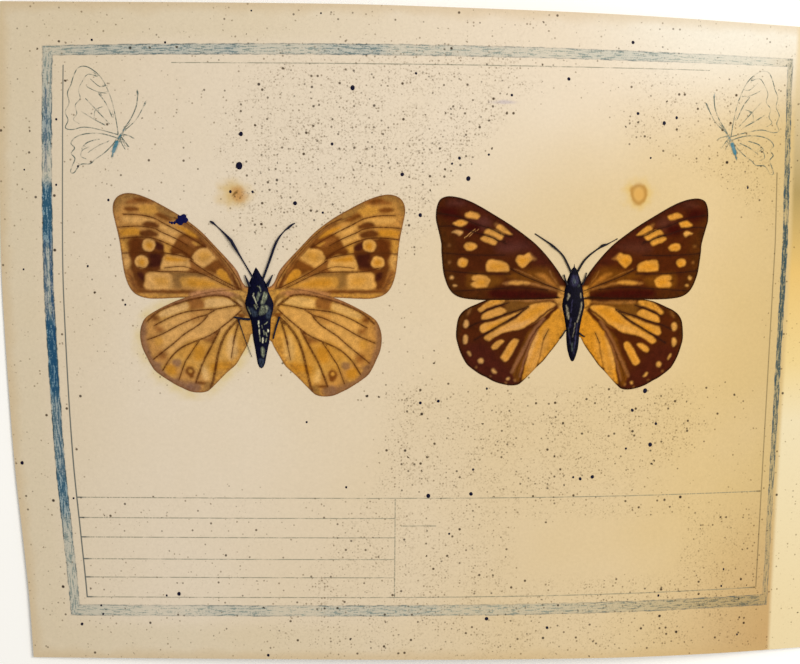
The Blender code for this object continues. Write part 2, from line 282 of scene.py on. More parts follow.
def finish(tree, shader, tone, height=None, strength=0.0, depth=0.0):
    # colours a material, and gives it a relief so many mm deep
    tree.links.new(tone, shader.inputs["Base Color"])
    if height:
        bump = node(tree, "Bump", {"Strength": strength, "Distance": depth * mm, "Height": height})
        tree.links.new(bump, shader.inputs["Normal"])


def placeInMm(tree):
    place = node(tree, "TexCoord", (), "Object")
    return node(tree, "VectorMath", [place, (1 / mm,) * 3])


leafSheet = cadSheet("album_leaf", 0.5)
corner = np.array([vert.co.xyz for vert in leafSheet.verts]) / mm
corner[:, :2] -= pageMiddle
byX = corner[corner[:, 0].argsort()]
bowStep = 5.0  # mm, between the places where the bow's height is read
bowStations = np.arange(math.floor(byX[0, 0]), math.ceil(byX[-1, 0]) + bowStep, bowStep)
faceHeight = smoothThrough(bowStations, np.interp(bowStations, byX[:, 0], byX[:, 2]))
border = outlineOf(leafSheet)
leafSheet.free()


def sideOf(chosen, along):
    # one side of the leaf as a curve: its other coordinate at each place along it
    side = border[chosen]
    side = side[side[:, along].argsort()]
    keep = np.append(True, np.diff(side[:, along]) > 0.5)  # mm apart
    return smoothThrough(side[keep, along], side[keep, 1 - along])


leftEdge = sideOf(border[:, 0] < -120.0, 1)
topEdge = sideOf(border[:, 1] > 80.0, 0)
bottomEdge = sideOf(border[:, 1] < -85.0, 0)
rightEdge = border[:, 0].max()


def onLeaf(spots, height):
    # points so high above the leaf's face, in metres in the frame
    z = faceHeight(spots[:, 0]) + height
    return np.column_stack([spots + pageMiddle, z]) * mm


def layOnLeaf(sheet, height):
    for vert, place in zip(sheet.verts, onLeaf(flatPlaces(sheet), height)):
        vert.co = place


# the page's print: a drawn band, thin lines, a ruled table and two corner figures
band = {
    "outer": ((-118.1, -78.4), (88.8, 80.5)),  # mm, lower left and upper right corner
    "inner": ((-115.6, -75.4), (87.45, 77.8)),
    "topSag": 1.6e-4,  # the top of the frame drops towards its ends by this times the square of the distance
    "rightLean": ((-77.0, 28.0, 70.0), (-0.8, 0.5, -0.4)),  # mm up the page, and the mm that it is out there
    # colours where it is thin, where it is full, and where it is rubbed
    "wash": ("#96a096", "#3f8098", "#86794e"),
    "strokes": ("#55726e", "#0f4660", "#30403c"),
    "pressedColour": "#0c3e62",
    "edgeColour": "#2a4650",
    # how densely the pencil was laid: (mm along the side, share)
    "left": [(-79, .5), (-70, .4), (-58, .45), (-52, .55), (-48, .8), (-40, .9), (-36, .75), (-18, .75),
             (-13, 1), (4, 1), (8, .6), (25, .6), (28, .95), (42, .95), (44, .4), (50, .4), (54, .65),
             (60, .75), (64, .55), (81, .4)],
    "top": [(-115, .35), (-108, .5), (-79, .55), (-75, .45), (-66, .6), (-63, .4), (-46, .35), (-41, .5),
            (-27, .55), (-24, .35), (4, .35), (23, .3), (29, .4), (51, .4), (55, .25), (71, .2), (89, .1)],
    "bottom": [(-117, .4), (-97, .3), (-92, .2), (-80, .25), (-75, .4), (-58, .4), (-55, .25),
               (-44, .25), (-41, .4), (-10, .4), (-8, .3), (26, .35), (48, .35), (82, .5)],
    "right": [(-76, .3), (-50, .35), (-36, .55), (-6, .85), (19, .95), (22, 1), (32, 1), (34, .35),
              (36, .35), (37, .85), (44, .85), (50, .6), (64, .5), (81, .35)],
    # parts that were gone over once more: (share, lower left corner, upper right corner)
    "pressed": [(.9, (-116.35, 0), (-115.6, 30)), (.2, (-117.2, -38), (-115.6, -14)),
                (.5, (-117.5, 46), (-116.8, 68)), (.6, (-117.6, -14), (-115.6, 4)),
                (.6, (-118.1, 4), (-117.2, 28))],
}

thinLines = {
    "halfWidth": 0.11,
    "leftLean": 0.6,  # mm to the right, of the left line's upper half
    "colour": "#6e705e",
    "leftColour": "#46504e",
    "rightColour": "#43381c",
    # (from, to) on the page
    "lines": [((-113.2, -73), (-113.2, 74.5)), ((-83, 75.4), (64, 75.4)), ((85.2, -72.6), (85, 47)),
              ((-113.2, -44.2), (84.7, -44.2)),
              *(((-113.2, y), (-21.8, y)) for y in (-50, -55.6, -61.9, -67.2)),
              ((-113.2, -73), (84.7, -73)), ((-21.8, -73), (-21.8, -44.2)), ((-20, -52.2), (-10.3, -52.2))],
}

# a plain line drawing of a butterfly with its wings raised, mm from its lower left corner
cornerFigure = {
    "leftCorner": (-112.0, 46.4),
    "rightCorner": (86.0, 47.4),  # mirrored from here
    "lineColour": "#41544e",
    "patchColour": "#2f7488",
    # (half width of the line, points)
    "strokes": [
        # the forewing: edge, a scalloped inner line, cell and veins
        (.13, [(15, 9.6), (14.4, 14), (13.2, 19.4), (10.8, 24.6), (7.4, 27.4), (4.8, 27.4), (3.4, 25.2),
            (2.6, 22.8), (1.6, 20.6), (2, 18), (.9, 15.6), (1.6, 13.4), (.8, 11.4), (2.6, 10.9), (6, 11.6),
            (10.6, 10.8), (15, 9.6)]),
        (.11, [(9.6, 25), (7.2, 25.6), (5.6, 23.6), (4.6, 21.4), (5, 19.2), (3.6, 17.4), (4, 15.2),
            (3, 13.6), (4.4, 12.6)]),
        (.14, [(13.4, 14.4), (11.8, 18), (10, 20.4)]),
        (.14, [(12.6, 12.6), (9.4, 16), (6.6, 19)]),
        (.15, [(11.4, 12.2), (8.4, 13.8), (5.4, 15.6)]),
        (.1, [(10.8, 17), (9, 16.2), (8.6, 14.2)]),
        (.1, [(12, 22.6), (10.2, 22.4), (8, 24.2)]),
        (.11, [(12.2, 20.6), (9.6, 21), (7, 22.2)]),
        # the hindwing: edge with a short tail, and its own marks
        (.14, [(14.6, 8.8), (10.4, 9.9), (6.2, 9.8), (3.4, 8.8), (2.2, 7.2), (3.2, 6), (2.2, 4.6),
            (3.2, 3.2), (2.4, 1.2), (1.9, -.4), (2.9, -.6), (4.6, 1.6), (7.2, 1.8), (8.6, 3), (11.2, 4.8),
            (13.6, 7.2), (14.6, 8.8)]),
        (.15, [(9.6, 8.4), (6.8, 7.6), (5.2, 6.2)]),
        (.13, [(6.8, 6.2), (5.2, 5.4), (4.8, 3.8), (6, 3.2)]),
        (.15, [(12.2, 7.8), (9.4, 6.6), (7, 5)]),
        # feelers, head, legs and abdomen
        (.15, [(16.8, 11.6), (18.6, 14.2), (20, 17.4), (20.4, 20.6)]),
        (.24, [(20.4, 20.4), (20.3, 21.2)]),
        (.12, [(17.2, 11.2), (19.8, 13.6), (21.8, 17)]),
        (.22, [(21.9, 17.2), (22.5, 18.4)]),
        (.26, [(16.8, 11.4), (16.2, 10.4)]),
        (.16, [(15.9, 9.8), (17.8, 9.4), (18.9, 8.8)]),
        (.14, [(15.7, 9.2), (17, 7.4), (17.6, 6.6)]),
        (.14, [(15.2, 9), (15.8, 7.4), (16.6, 6)]),
        (.3, [(15.8, 9.8), (15, 8.6)]),
        (.62, [(14.6, 7.6), (14, 6.2), (13.6, 5.2)]),
        (.3, [(13.6, 5.2), (13.3, 4.2), (13.2, 3.6)]),
    ],
}

# where ink was spattered: (share, softness in mm, outline), each laid over those before it
spatterElsewhere = 0.11
spatterRegions = [
    (.16, 12, [(-118, 78), (-118, 89), (90, 86), (90, 45), (60, 60), (0, 78)]),
    (.65, 9, [(-66, 30), (-70, 60), (-58, 78), (10, 80), (16, 66), (0, 50), (-12, 28), (-30, 24)]),
    (.9, 9, [(-50, 48), (-48, 64), (-20, 70), (4, 66), (-4, 50), (-22, 44)]),
    (.5, 9, [(40, 56), (44, 74), (72, 70), (86, 46), (84, 34), (70, 42)]),
    (.65, 10, [(-22, -12), (-26, -42), (10, -46), (52, -40), (68, -24), (60, -10), (10, -14)]),
    (.5, 10, [(-30, -44), (-60, -88), (0, -91), (84, -90), (86, -50), (40, -44)]),
    (.15, 8, [(-122, -30), (-122, -86), (-60, -88), (-56, -30)]),
    (0, 6, [(-14, 22), (-9, 43), (0, 49), (5, 57), (10, 66), (33, 68), (36, 59), (50, 52), (64, 46),
        (75, 38), (84, 20), (84, -10), (30, -12), (-6, -8)]),
    (0, 6, [(-108, -14), (-108, -42), (-30, -42), (-26, -20), (-50, -12)]),
    (0, 5, [(12, -50), (12, -68), (60, -68), (62, -50)]),
]

# soft spots on the paper: (place, half lengths, degrees of turn, strength, colour)
marks = [
    ((-66.2, 40.2), (6.4, 5.4), 0, .65, "#c4a04a"),
    ((-64.8, 40.2), (3.3, 3), 0, .65, "#b47830"),
    ((-65.9, 40.5), (1.5, .5), 45, .85, "#74521c"),
    ((44.9, 41), (6, 6), 0, .6, "#cda84c"),
    ((44.9, 41.2), (3, 3.4), 0, .6, "#c88c34"),
    ((7, 65.6), (4.6, .8), 0, .35, "#8d87a8"),  # a violet smear
]

tideLine = {"place": (44.9, 41.2), "radii": (1.8, 2.4), "colour": "#9c6a1e"}  # round the right brown spot


def printedPlaces(spots):
    # where a point of the paper lies in the print, which isn't quite square on the sheet: each lean
    # grows from nothing over the given mm
    x, y = spots.T
    leftLean = (leftEdge(y) - leftEdge(20.0)) * (1.0 - smoothStep(-105.0, -60.0, x))
    rightLean = np.interp(y, *band["rightLean"]) * smoothStep(60.0, 84.0, x)
    topLean = band["topSag"] * (x + 30.0)**2 * smoothStep(72.0, 80.0, y)
    return np.column_stack([x - leftLean - rightLean, y + topLean])


def pencilStrength(printed):
    # how densely the pencil lies on the side of the band that is nearest
    u, v = printed.T
    (left, low), (right, high) = band["outer"]
    nearest = np.argmin([abs(u - left), abs(u - right), abs(v - low), abs(v - high)], axis=0)
    shares = [np.interp(place, *zip(*band[side]))
              for place, side in ((v, "left"), (v, "right"), (u, "bottom"), (u, "top"))]
    return np.choose(nearest, shares)


def spatterShare(spots):
    share = np.full(len(spots), spatterElsewhere)
    for level, softness, outline in spatterRegions:
        cover = smoothStep(-softness / 2, softness / 2, insideDistance(spots, np.array(outline, float)))
        share = share * (1 - cover) + level * cover
    return share


def strokeDistances(spots, strokes):
    # signed distance over half width from the nearest stroke, and mm from its edge
    far = 99.0
    best, past = np.full(len(spots), far), np.full(len(spots), far)
    for halfWidth, points in strokes:
        distance, side = nearestOnLine(spots, roundOff(points, closed=False))[1:]
        closer = distance - halfWidth < past
        best = np.where(closer, side * distance / halfWidth, best)
        past = np.where(closer, distance - halfWidth, past)
    return best, past


leaf = {
    "thickness": 0.45,
    "cell": 2.0,  # of its grid
    "cuts": 5,  # finer under the corner figures
    "figureBox": ((-1.5, -2.0), (24.0, 30.0)),  # mm round a figure, lower left and upper right
    "bloomReach": 3.2,  # of the stain that the left wings gave the paper
}


def figurePlaces(spots):
    # places from each corner figure's own corner
    left = spots - np.array(cornerFigure["leftCorner"])
    right = (spots - np.array(cornerFigure["rightCorner"])) * (-1.0, 1.0)
    return left, right


def boxDistance(tree, place, low, high):
    # mm outside an upright rectangle, and inside is negative
    middle = ((low[0] + high[0]) / 2, (low[1] + high[1]) / 2, 0.0)
    half = ((high[0] - low[0]) / 2, (high[1] - low[1]) / 2, 0.0)
    offset = node(tree, "VectorMath", [place, middle], operation="SUBTRACT")
    size = node(tree, "VectorMath", [offset], operation="ABSOLUTE")
    over = node(tree, "VectorMath", [size, half], operation="SUBTRACT")
    across = node(tree, "SeparateXYZ", [over])
    along = across.node.outputs[1]
    return node(tree, "Math", [across, along], operation="MAXIMUM"), across, along


def ellipseDistance(tree, place, middle, halves, turn):
    # how far out of an ellipse's middle, where its edge is at 1
    placed = node(tree, "Mapping", {"Vector": place, "Location": (*middle, 0.0),
                                    "Rotation": (0.0, 0.0, math.radians(turn)), "Scale": (*halves, 1.0)},
                  vector_type="TEXTURE")
    return node(tree, "VectorMath", [placed], "Value", operation="LENGTH")


def strokeLine(tree, strokeName, pastName, width, reach):
    # a line along strokes, fading out at this share of their width, and none further off than reach in mm
    stroke = node(tree, "Attribute", (), "Fac", attribute_name=strokeName)
    past = node(tree, "Attribute", (), "Fac", attribute_name=pastName)
    stroke = node(tree, "Math", [stroke], operation="ABSOLUTE")
    line = node(tree, "MapRange", [stroke, width, 0.6])
    close = node(tree, "MapRange", [past, reach, reach - 0.1])
    return node(tree, "Math", [line, close]), past


def spatter(tree, place, look, density):
    # round specks strewn one to a cell, more of them where the density is high
    scaled = node(tree, "VectorMath", [place, (1 / look["cell"],) * 3])
    cells = node(tree, "TexVoronoi", {"Vector": scaled, "Scale": 1}, "Distance", voronoi_dimensions="2D")
    luck = node(tree, "SeparateColor", [cells.node.outputs["Color"]])
    share = node(tree, "Math", [density, look["share"]])
    present = node(tree, "Math", [luck, share], operation="LESS_THAN")
    chance = node(tree, "Math", [luck.node.outputs[1], 2.5], operation="POWER")
    radius = node(tree, "MapRange", {0: chance, 3: look["radius"][0], 4: look["radius"][1]})
    away = node(tree, "Math", [cells, look["cell"]])
    apart = node(tree, "Math", [away, radius], operation="DIVIDE")
    dot = node(tree, "MapRange", [apart, 1.15, 0.6], **smooth)
    dark = node(tree, "MapRange", {0: chance, 3: look["dark"][0], 4: look["dark"][1]})
    shown = node(tree, "Math", [dot, present])
    return node(tree, "Math", [shown, dark])


paper = {
    "ground": "#d6c7b0",
    # laid over the ground in this order, as paperTone works out their shares; among them a painted shade
    # beside the binding, and bleached paper with a painted sheen at the upper right corner
    "tones": {"greyerLeft": "#d1c1a6", "margin": "#cfc0a4", "yellowed": "#c6ac78", "paintedFoldShade": "#a08852",
              "bleachedPaperAndSheen": "#dbd4c4", "lowerRightBrown": "#b08a58", "browned": "#b99a66"},
    # painted light and shade beside the binding, where the page curves down into the fold, from the bottom
    # to the top
    "foldLightAndShade": [(0, "#d4c298"), (.35, "#d4c6a2"), (.46, "#d2ba80"), (.62, "#ccaa64"), (.76, "#9c8652"),
             (1, "#d0be9a")],
    "relief": (0.35, 0.05),  # of its fibres: strength, and depth in mm
    "bloom": "#cdb468",
    "mist": "#85765a",  # of ink too fine to see as specks
    # three sizes of ink speck, one to a cell of so many mm
    "specks": [
        {"cell": 0.85, "share": 0.5, "radius": (0.17, 0.32), "dark": (0.2, 0.6), "tone": "#705a34"},
        {"cell": 1.9, "share": 0.6, "radius": (0.2, 0.42), "dark": (0.35, 0.95), "tone": "#4e3c22"},
        {"cell": 5.0, "share": 0.5, "radius": (0.26, 0.48), "dark": (0.55, 1.0), "tone": "#3a2c26"},
    ],
}


def paperTone(tree, place, edge):
    # thick uncoated paper: greyer on the left, yellowed to the right, cloudy, browned along its edges,
    # darker to the lower right, with a painted shade beside the binding and a painted sheen over bleached
    # paper at the upper right corner
    x = node(tree, "SeparateXYZ", [place])
    y = x.node.outputs[1]
    # greyer and a little darker towards the left edge
    greyerLeft = node(tree, "MapRange", [x, -90, -125])
    margin = node(tree, "MapRange", [edge, 13, 7, 0, 0.8], **smooth)
    leftHalf = node(tree, "MapRange", [x, 0, -60])
    margin = node(tree, "Math", [margin, leftHalf])
    across = node(tree, "MapRange", [x, -85, 88])
    sloping = node(tree, "Math", [x, -0.35, y], operation="MULTIPLY_ADD")
    covered = node(tree, "MapRange", [sloping, 66, 24], **smooth)
    yellowed = node(tree, "Math", [across, covered])
    cloud = node(tree, "TexNoise", {"Vector": place, "Scale": 1 / 45, "Detail": 3})
    drift = node(tree, "MapRange", [cloud, 0.3, 0.7, -0.09, 0.09])
    yellowed = node(tree, "Math", [yellowed, drift], operation="ADD", use_clamp=True)
    # painted shade, darker towards the binding where the page curves down into the fold
    paintedFoldShade = node(tree, "MapRange", [x, 66, 86, 0, 0.22])
    high = ellipseDistance(tree, place, (75, 110), (1, 0.8), 0)  # the upper right corner, paler there: bleached paper under a painted sheen
    bleachedPaperAndSheen = node(tree, "MapRange", [high, 67, 24], **smooth)
    low = node(tree, "VectorMath", [place, (115, -100, 5)], "Value", operation="DISTANCE")  # the lower right corner; the paper is darker and browner towards it
    lowerRightBrown = node(tree, "MapRange", [low, 75, 15, 0, 0.8], **smooth)
    ragged = node(tree, "TexNoise", {"Vector": place, "Scale": 1 / 9, "Detail": 3})
    reach = node(tree, "MapRange", {0: ragged, 3: 0.5, 4: 7.0})
    browned = node(tree, "MapRange", [edge, reach, 0, 0, 0.35], **smooth)
    tone = colour(paper["ground"])
    shares = (greyerLeft, margin, yellowed, paintedFoldShade, bleachedPaperAndSheen, lowerRightBrown, browned)
    for share, hexValue in zip(shares, paper["tones"].values()):
        tone = node(tree, "Mix", {0: share, 6: tone, 7: colour(hexValue)})
    fibre = node(tree, "TexNoise", {"Vector": place, "Scale": 1 / 0.9, "Detail": 5, "Roughness": 0.7})
    mottle = node(tree, "MapRange", [fibre, 0.3, 0.7, 0.97, 1.05])
    return node(tree, "Mix", {0: 1.0, 6: tone, 7: mottle}, **multiplied), fibre


def plainPaper():
    # the back and the cut edges of the same album paper
    material, tree, shader = newMaterial("agedAlbumPaperPlain", 0.92, 0.25)
    place = placeInMm(tree)
    edge = node(tree, "Attribute", (), "Fac", attribute_name="edgeDistance")
    finish(tree, shader, *paperTone(tree, place, edge), *paper["relief"])
    return material


def printedPaper():
    # album paper with a drawn frame in blue pencil, fine grey lines, foxing and a spray of brown ink
    material, tree, shader = newMaterial("agedAlbumPaperPrinted", 0.9, 0.25)
    place = placeInMm(tree)
    edge = node(tree, "Attribute", (), "Fac", attribute_name="edgeDistance")
    tone, fibre = paperTone(tree, place, edge)
    raw = node(tree, "Attribute", (), "Vector", attribute_name="printed")
    strength = node(tree, "SeparateXYZ", [raw], 2)
    printed = node(tree, "VectorMath", [raw, (1, 1, 0)])
    x = node(tree, "SeparateXYZ", [printed])
    y = x.node.outputs[1]
    tone = stainsAndFoldLight(tree, tone, place, printed, x, y)
    tone, laid = pencilBand(tree, tone, place, printed, x, y, strength)
    tone = fineLines(tree, tone, printed, x, y, laid)
    tone = cornerDrawings(tree, tone, place)
    tone = inkSpray(tree, tone, place, printed)
    finish(tree, shader, tone, fibre, *paper["relief"])
    return material


def stainsAndFoldLight(tree, tone, place, printed, x, y):
    # beside the binding, painted light and shade where the page curves into the fold: pale at the bottom,
    # warm yellow in its middle from light thrown between the pages, and a painted shade band near the top
    gutter = node(tree, "MapRange", [x, 89.2, 90.8], **smooth)
    up = node(tree, "MapRange", [y, -80, 80])
    foldLightAndShade = node(tree, "ValToRGB", [up], stops=paper["foldLightAndShade"])
    tone = node(tree, "Mix", {0: gutter, 6: tone, 7: foldLightAndShade})

    # the yellow bloom that has crept out of the left wings
    bloom = node(tree, "Attribute", (), "Fac", attribute_name="bloom")
    patchy = node(tree, "TexNoise", {"Vector": place, "Scale": 1 / 4, "Detail": 3})
    blooming = node(tree, "MapRange", [patchy, 0.35, 0.6, 0.2, 0.6])
    bloom = node(tree, "Math", [bloom, blooming])
    tone = node(tree, "Mix", {0: bloom, 6: tone, 7: colour(paper["bloom"])})

    # foxing, one spot of it with a darker tide line, and a smear
    wobble = node(tree, "MapRange", [patchy, 0.3, 0.7, -0.2, 0.2])
    for spot, halves, turn, depth, hexValue in marks:
        away = ellipseDistance(tree, printed, spot, halves, turn)
        away = node(tree, "Math", [away, wobble], operation="ADD")
        soft = node(tree, "MapRange", [away, 1, 0.2, 0, depth], **smooth)
        tone = node(tree, "Mix", {0: soft, 6: tone, 7: colour(hexValue)})
    away = ellipseDistance(tree, printed, tideLine["place"], tideLine["radii"], 0.0)
    away = node(tree, "Math", [away, wobble], operation="ADD")
    near = node(tree, "Math", [away, 1], operation="SUBTRACT")
    near = node(tree, "Math", [near], operation="ABSOLUTE")
    line = node(tree, "MapRange", [near, 0.55, 0, 0, 0.65], **smooth)
    return node(tree, "Mix", {0: line, 6: tone, 7: colour(tideLine["colour"])})


def pencilBand(tree, tone, place, printed, x, y, strength):
    # pencil strokes along each side of the frame, between two drawn edges
    outer, outerAcross, outerAlong = boxDistance(tree, printed, *band["outer"])
    inner = boxDistance(tree, printed, *band["inner"])[0]
    shake = node(tree, "TexNoise", {"Vector": place, "Scale": 1 / 1.6, "Detail": 2})
    shake = node(tree, "MapRange", {0: shake, 3: -0.28, 4: 0.28})
    outer = node(tree, "Math", [outer, shake], operation="ADD")
    inner = node(tree, "Math", [inner, shake], operation="SUBTRACT")
    within = node(tree, "MapRange", [outer, 0.12, -0.12])
    beyond = node(tree, "MapRange", [inner, -0.12, 0.12])
    onBand = node(tree, "Math", [within, beyond])
    upright = node(tree, "Math", [outerAcross, outerAlong], operation="GREATER_THAN")
    swapped = node(tree, "CombineXYZ", [y, x])
    along = node(tree, "Mix", {0: upright, 4: printed, 5: swapped}, 1, data_type="VECTOR")
    streaked = node(tree, "VectorMath", [along, (0.3, 2.3, 0)])
    streak = node(tree, "TexNoise", {"Vector": streaked, "Scale": 1, "Detail": 3, "Roughness": 0.6})
    streak = node(tree, "MapRange", [streak, 0.38, 0.62])
    tooth = node(tree, "TexNoise", {"Vector": place, "Scale": 1 / 0.4, "Detail": 2})
    tooth = node(tree, "MapRange", [tooth, 0.3, 0.7, -0.3, 0.3])
    laid = node(tree, "Math", [streak, tooth], operation="ADD")

    # rubbed brown towards the lower right and beside the binding
    blue = node(tree, "MapRange", [strength, 0.3, 0.9])
    rubbed = node(tree, "MapRange", [x, 80, 86, 0, 0.85])
    low = node(tree, "MapRange", [y, -70, -74])
    right = node(tree, "MapRange", [x, 10, 70, 0, 0.9])
    low = node(tree, "Math", [low, right])
    rubbed = node(tree, "Math", [rubbed, low], operation="MAXIMUM")

    # a smudged wash of the colour, and over it the strokes
    wash = node(tree, "MapRange", {0: strength, 3: 0.12, 4: 0.8})
    wash = node(tree, "Math", [wash, onBand])
    bare = node(tree, "Math", [strength, -0.85, 0.82], operation="MULTIPLY_ADD")
    full = node(tree, "Math", [bare, 0.5], operation="ADD")
    cover = node(tree, "MapRange", [laid, bare, full], **smooth)
    cover = node(tree, "Math", [cover, onBand])
    press = node(tree, "MapRange", [strength, 0.2, 1, 0.55, 0.95])
    cover = node(tree, "Math", [cover, press])
    for share, colours in ((wash, band["wash"]), (cover, band["strokes"])):
        thin, full, worn = (colour(hexValue) for hexValue in colours)
        pencil = node(tree, "Mix", {0: blue, 6: thin, 7: full})
        pencil = node(tree, "Mix", {0: rubbed, 6: pencil, 7: worn})
        tone = node(tree, "Mix", {0: share, 6: tone, 7: pencil})
    for share, low, high in band["pressed"]:
        away = boxDistance(tree, printed, low, high)[0]
        away = node(tree, "Math", [away, shake], operation="ADD")
        cover = node(tree, "MapRange", [away, 0.3, -0.25, 0, share], **smooth)
        gaps = node(tree, "MapRange", [laid, 0, 0.6, 0.4, 1])
        cover = node(tree, "Math", [cover, gaps])
        tone = node(tree, "Mix", {0: cover, 6: tone, 7: colour(band["pressedColour"])})

    # its two edges
    edges = []
    for rim in (outer, inner):
        away = node(tree, "Math", [rim], operation="ABSOLUTE")
        edges.append(node(tree, "MapRange", [away, 0.28, 0.06]))
    drawn = node(tree, "Math", [edges[0], edges[1]], operation="MAXIMUM")
    worn = node(tree, "MapRange", [laid, 0, 0.8, 0.1, 0.95])
    drawn = node(tree, "Math", [drawn, worn])
    firm = node(tree, "MapRange", [strength, 0.2, 0.7, 0.3, 1])
    drawn = node(tree, "Math", [drawn, firm])
    return node(tree, "Mix", {0: drawn, 6: tone, 7: colour(band["edgeColour"])}), laid


def fineLines(tree, tone, printed, x, y, laid):
    # thin lines and table rules, a little broken
    lean = node(tree, "MapRange", [y, -20, 50, 0, thinLines["leftLean"]])
    lean = node(tree, "CombineXYZ", [lean])
    leaning = node(tree, "VectorMath", [printed, lean], operation="SUBTRACT")
    grown = thinLines["halfWidth"]
    nearest = None
    for (x0, y0), (x1, y1) in thinLines["lines"]:
        under = leaning if x0 == x1 < -100.0 else printed  # the left line
        away = boxDistance(tree, under, (x0 - grown, y0 - grown), (x1 + grown, y1 + grown))[0]
        nearest = away if nearest is None else node(tree, "Math", [nearest, away], operation="MINIMUM")
    nearLeft = node(tree, "MapRange", [x, -110, -112])
    nearRight = node(tree, "MapRange", [x, 82, 84.5])
    low = node(tree, "MapRange", [y, 70, -30])
    wide = node(tree, "MapRange", {0: low, 3: 0.12, 4: 0.19})
    wide = node(tree, "Mix", {0: nearLeft, 2: 0.1, 3: wide}, 0, data_type="FLOAT")
    wide = node(tree, "Mix", {0: nearRight, 2: wide, 3: 0.28}, 0, data_type="FLOAT")
    ruled = node(tree, "MapRange", [nearest, wide, -0.06])
    broken = node(tree, "MapRange", [laid, -0.1, 0.6, 0.2, 0.8])
    firm = node(tree, "MapRange", {0: low, 3: 0.9, 4: 1.0})
    firm = node(tree, "Math", [firm, nearLeft])
    firm = node(tree, "Mix", {0: nearRight, 2: firm, 3: 0.8}, 0, data_type="FLOAT")
    steady = node(tree, "Math", [broken, firm], operation="MAXIMUM")
    ruled = node(tree, "Math", [ruled, steady])
    plain, left, right = (colour(thinLines[name]) for name in ("colour", "leftColour", "rightColour"))
    lineInk = node(tree, "Mix", {0: nearLeft, 6: plain, 7: left})
    lineInk = node(tree, "Mix", {0: nearRight, 6: lineInk, 7: right})
    return node(tree, "Mix", {0: ruled, 6: tone, 7: lineInk})


def cornerDrawings(tree, tone, place):
    # pencil lines that skip over the paper's grain, and small blue patches
    line, past = strokeLine(tree, "figureStroke", "figurePast", 1.5, 0.32)
    sketchy = node(tree, "TexNoise", {"Vector": place, "Scale": 1 / 1.8, "Detail": 4, "Roughness": 0.7})
    sketchy = node(tree, "MapRange", [sketchy, 0.41, 0.58, 0.16, 0.95])
    line = node(tree, "Math", [line, sketchy])
    tone = node(tree, "Mix", {0: line, 6: tone, 7: colour(cornerFigure["lineColour"])})
    filled = node(tree, "MapRange", [past, -0.12, -0.2, 0, 0.8])
    return node(tree, "Mix", {0: filled, 6: tone, 7: colour(cornerFigure["patchColour"])})


def inkSpray(tree, tone, place, printed):
    # brown ink, sprayed in fine specks
    density = node(tree, "Attribute", (), "Fac", attribute_name="spatterShare")
    clumps = node(tree, "TexNoise", {"Vector": place, "Scale": 1 / 5, "Detail": 3})
    clumps = node(tree, "MapRange", [clumps, 0.35, 0.65, 0.4, 1.35])
    density = node(tree, "Math", [density, clumps])
    mist = node(tree, "TexNoise", {"Vector": place, "Scale": 1 / 0.6, "Detail": 2})
    mist = node(tree, "MapRange", [mist, 0.52, 0.68, 0, 0.42])
    mist = node(tree, "Math", [mist, density])
    tone = node(tree, "Mix", {0: mist, 6: tone, 7: colour(paper["mist"])}, **multiplied)
    for look in paper["specks"]:
        specks = spatter(tree, printed, look, density)
        tone = node(tree, "Mix", {0: specks, 6: tone, 7: colour(look["tone"])}, **multiplied)
    return tone


def makeLeaf(bloomOutline):
    # a grid fitted between the leaf's four sides, finer under the corner figures
    sheet = bmesh.new()
    low, high = bottomEdge(0.0), topEdge(0.0)
    columns, rows = round(2 * rightEdge / leaf["cell"]), round((high - low) / leaf["cell"])
    bmesh.ops.create_grid(sheet, x_segments=columns, y_segments=rows, size=0.5)
    share = flatPlaces(sheet) + 0.5
    roughY = low + share[:, 1] * (high - low)
    x = leftEdge(roughY) + share[:, 0] * (rightEdge - leftEdge(roughY))
    y = bottomEdge(x) + share[:, 1] * (topEdge(x) - bottomEdge(x))
    for vert, place in zip(sheet.verts, zip(x, y)):
        vert.co.xy = place
    boxLow, boxHigh = leaf["figureBox"]
    middles = np.array([face.calc_center_median().xy for face in sheet.faces])
    chosen = np.zeros(len(middles), bool)
    for near in figurePlaces(middles):
        chosen |= ((near > boxLow) & (near < boxHigh)).all(1)
    edges = {edge for face, inside in zip(sheet.faces, chosen) if inside for edge in face.edges}
    bmesh.ops.subdivide_edges(sheet, edges=list(edges), cuts=leaf["cuts"], use_grid_fill=True)

    spots = flatPlaces(sheet)
    layOnLeaf(sheet, 0.0)
    mesh = meshFrom(sheet, "album_leaf_paper")
    printed = printedPlaces(spots)
    setAttribute(mesh, "printed", np.column_stack([printed, pencilStrength(printed)]))
    x, y = spots.T
    sides = [x - leftEdge(y), rightEdge - x, topEdge(x) - y, y - bottomEdge(x)]
    setAttribute(mesh, "edgeDistance", np.min(sides, axis=0))
    setAttribute(mesh, "spatterShare", spatterShare(spots))
    setAttribute(mesh, "bloom", smoothStep(-leaf["bloomReach"], 0.0, insideDistance(spots, bloomOutline)))
    strokes = [strokeDistances(near, cornerFigure["strokes"]) for near in figurePlaces(spots)]
    (leftStroke, leftPast), (rightStroke, rightPast) = strokes
    setAttribute(mesh, "figureStroke", np.where(leftPast < rightPast, leftStroke, rightStroke))
    setAttribute(mesh, "figurePast", np.minimum(leftPast, rightPast))
    piece = addPiece("album_leaf_paper", mesh, [printedPaper(), plainPaper()], ["album_leaf"])
    wall = thicken(piece, leaf["thickness"])
    wall.material_offset = wall.material_offset_rim = 1
    print("leaf made:", len(mesh.polygons), "faces")


wing = {
    "cell": 0.25,  # mm, of the grids that carry the pattern
    "thickness": 0.08,
    "lift": 0.1,  # of a wing's upper face over what it lies on
    "tuck": 0.75,  # how far a wing runs in under its body
    "gap": 0.45,  # a CAD wing ends less than this from its body
    "waver": 0.2,  # of the pattern's edges
    "rise": 1.6,  # mm, on which the upper wing climbs over the lower one
}

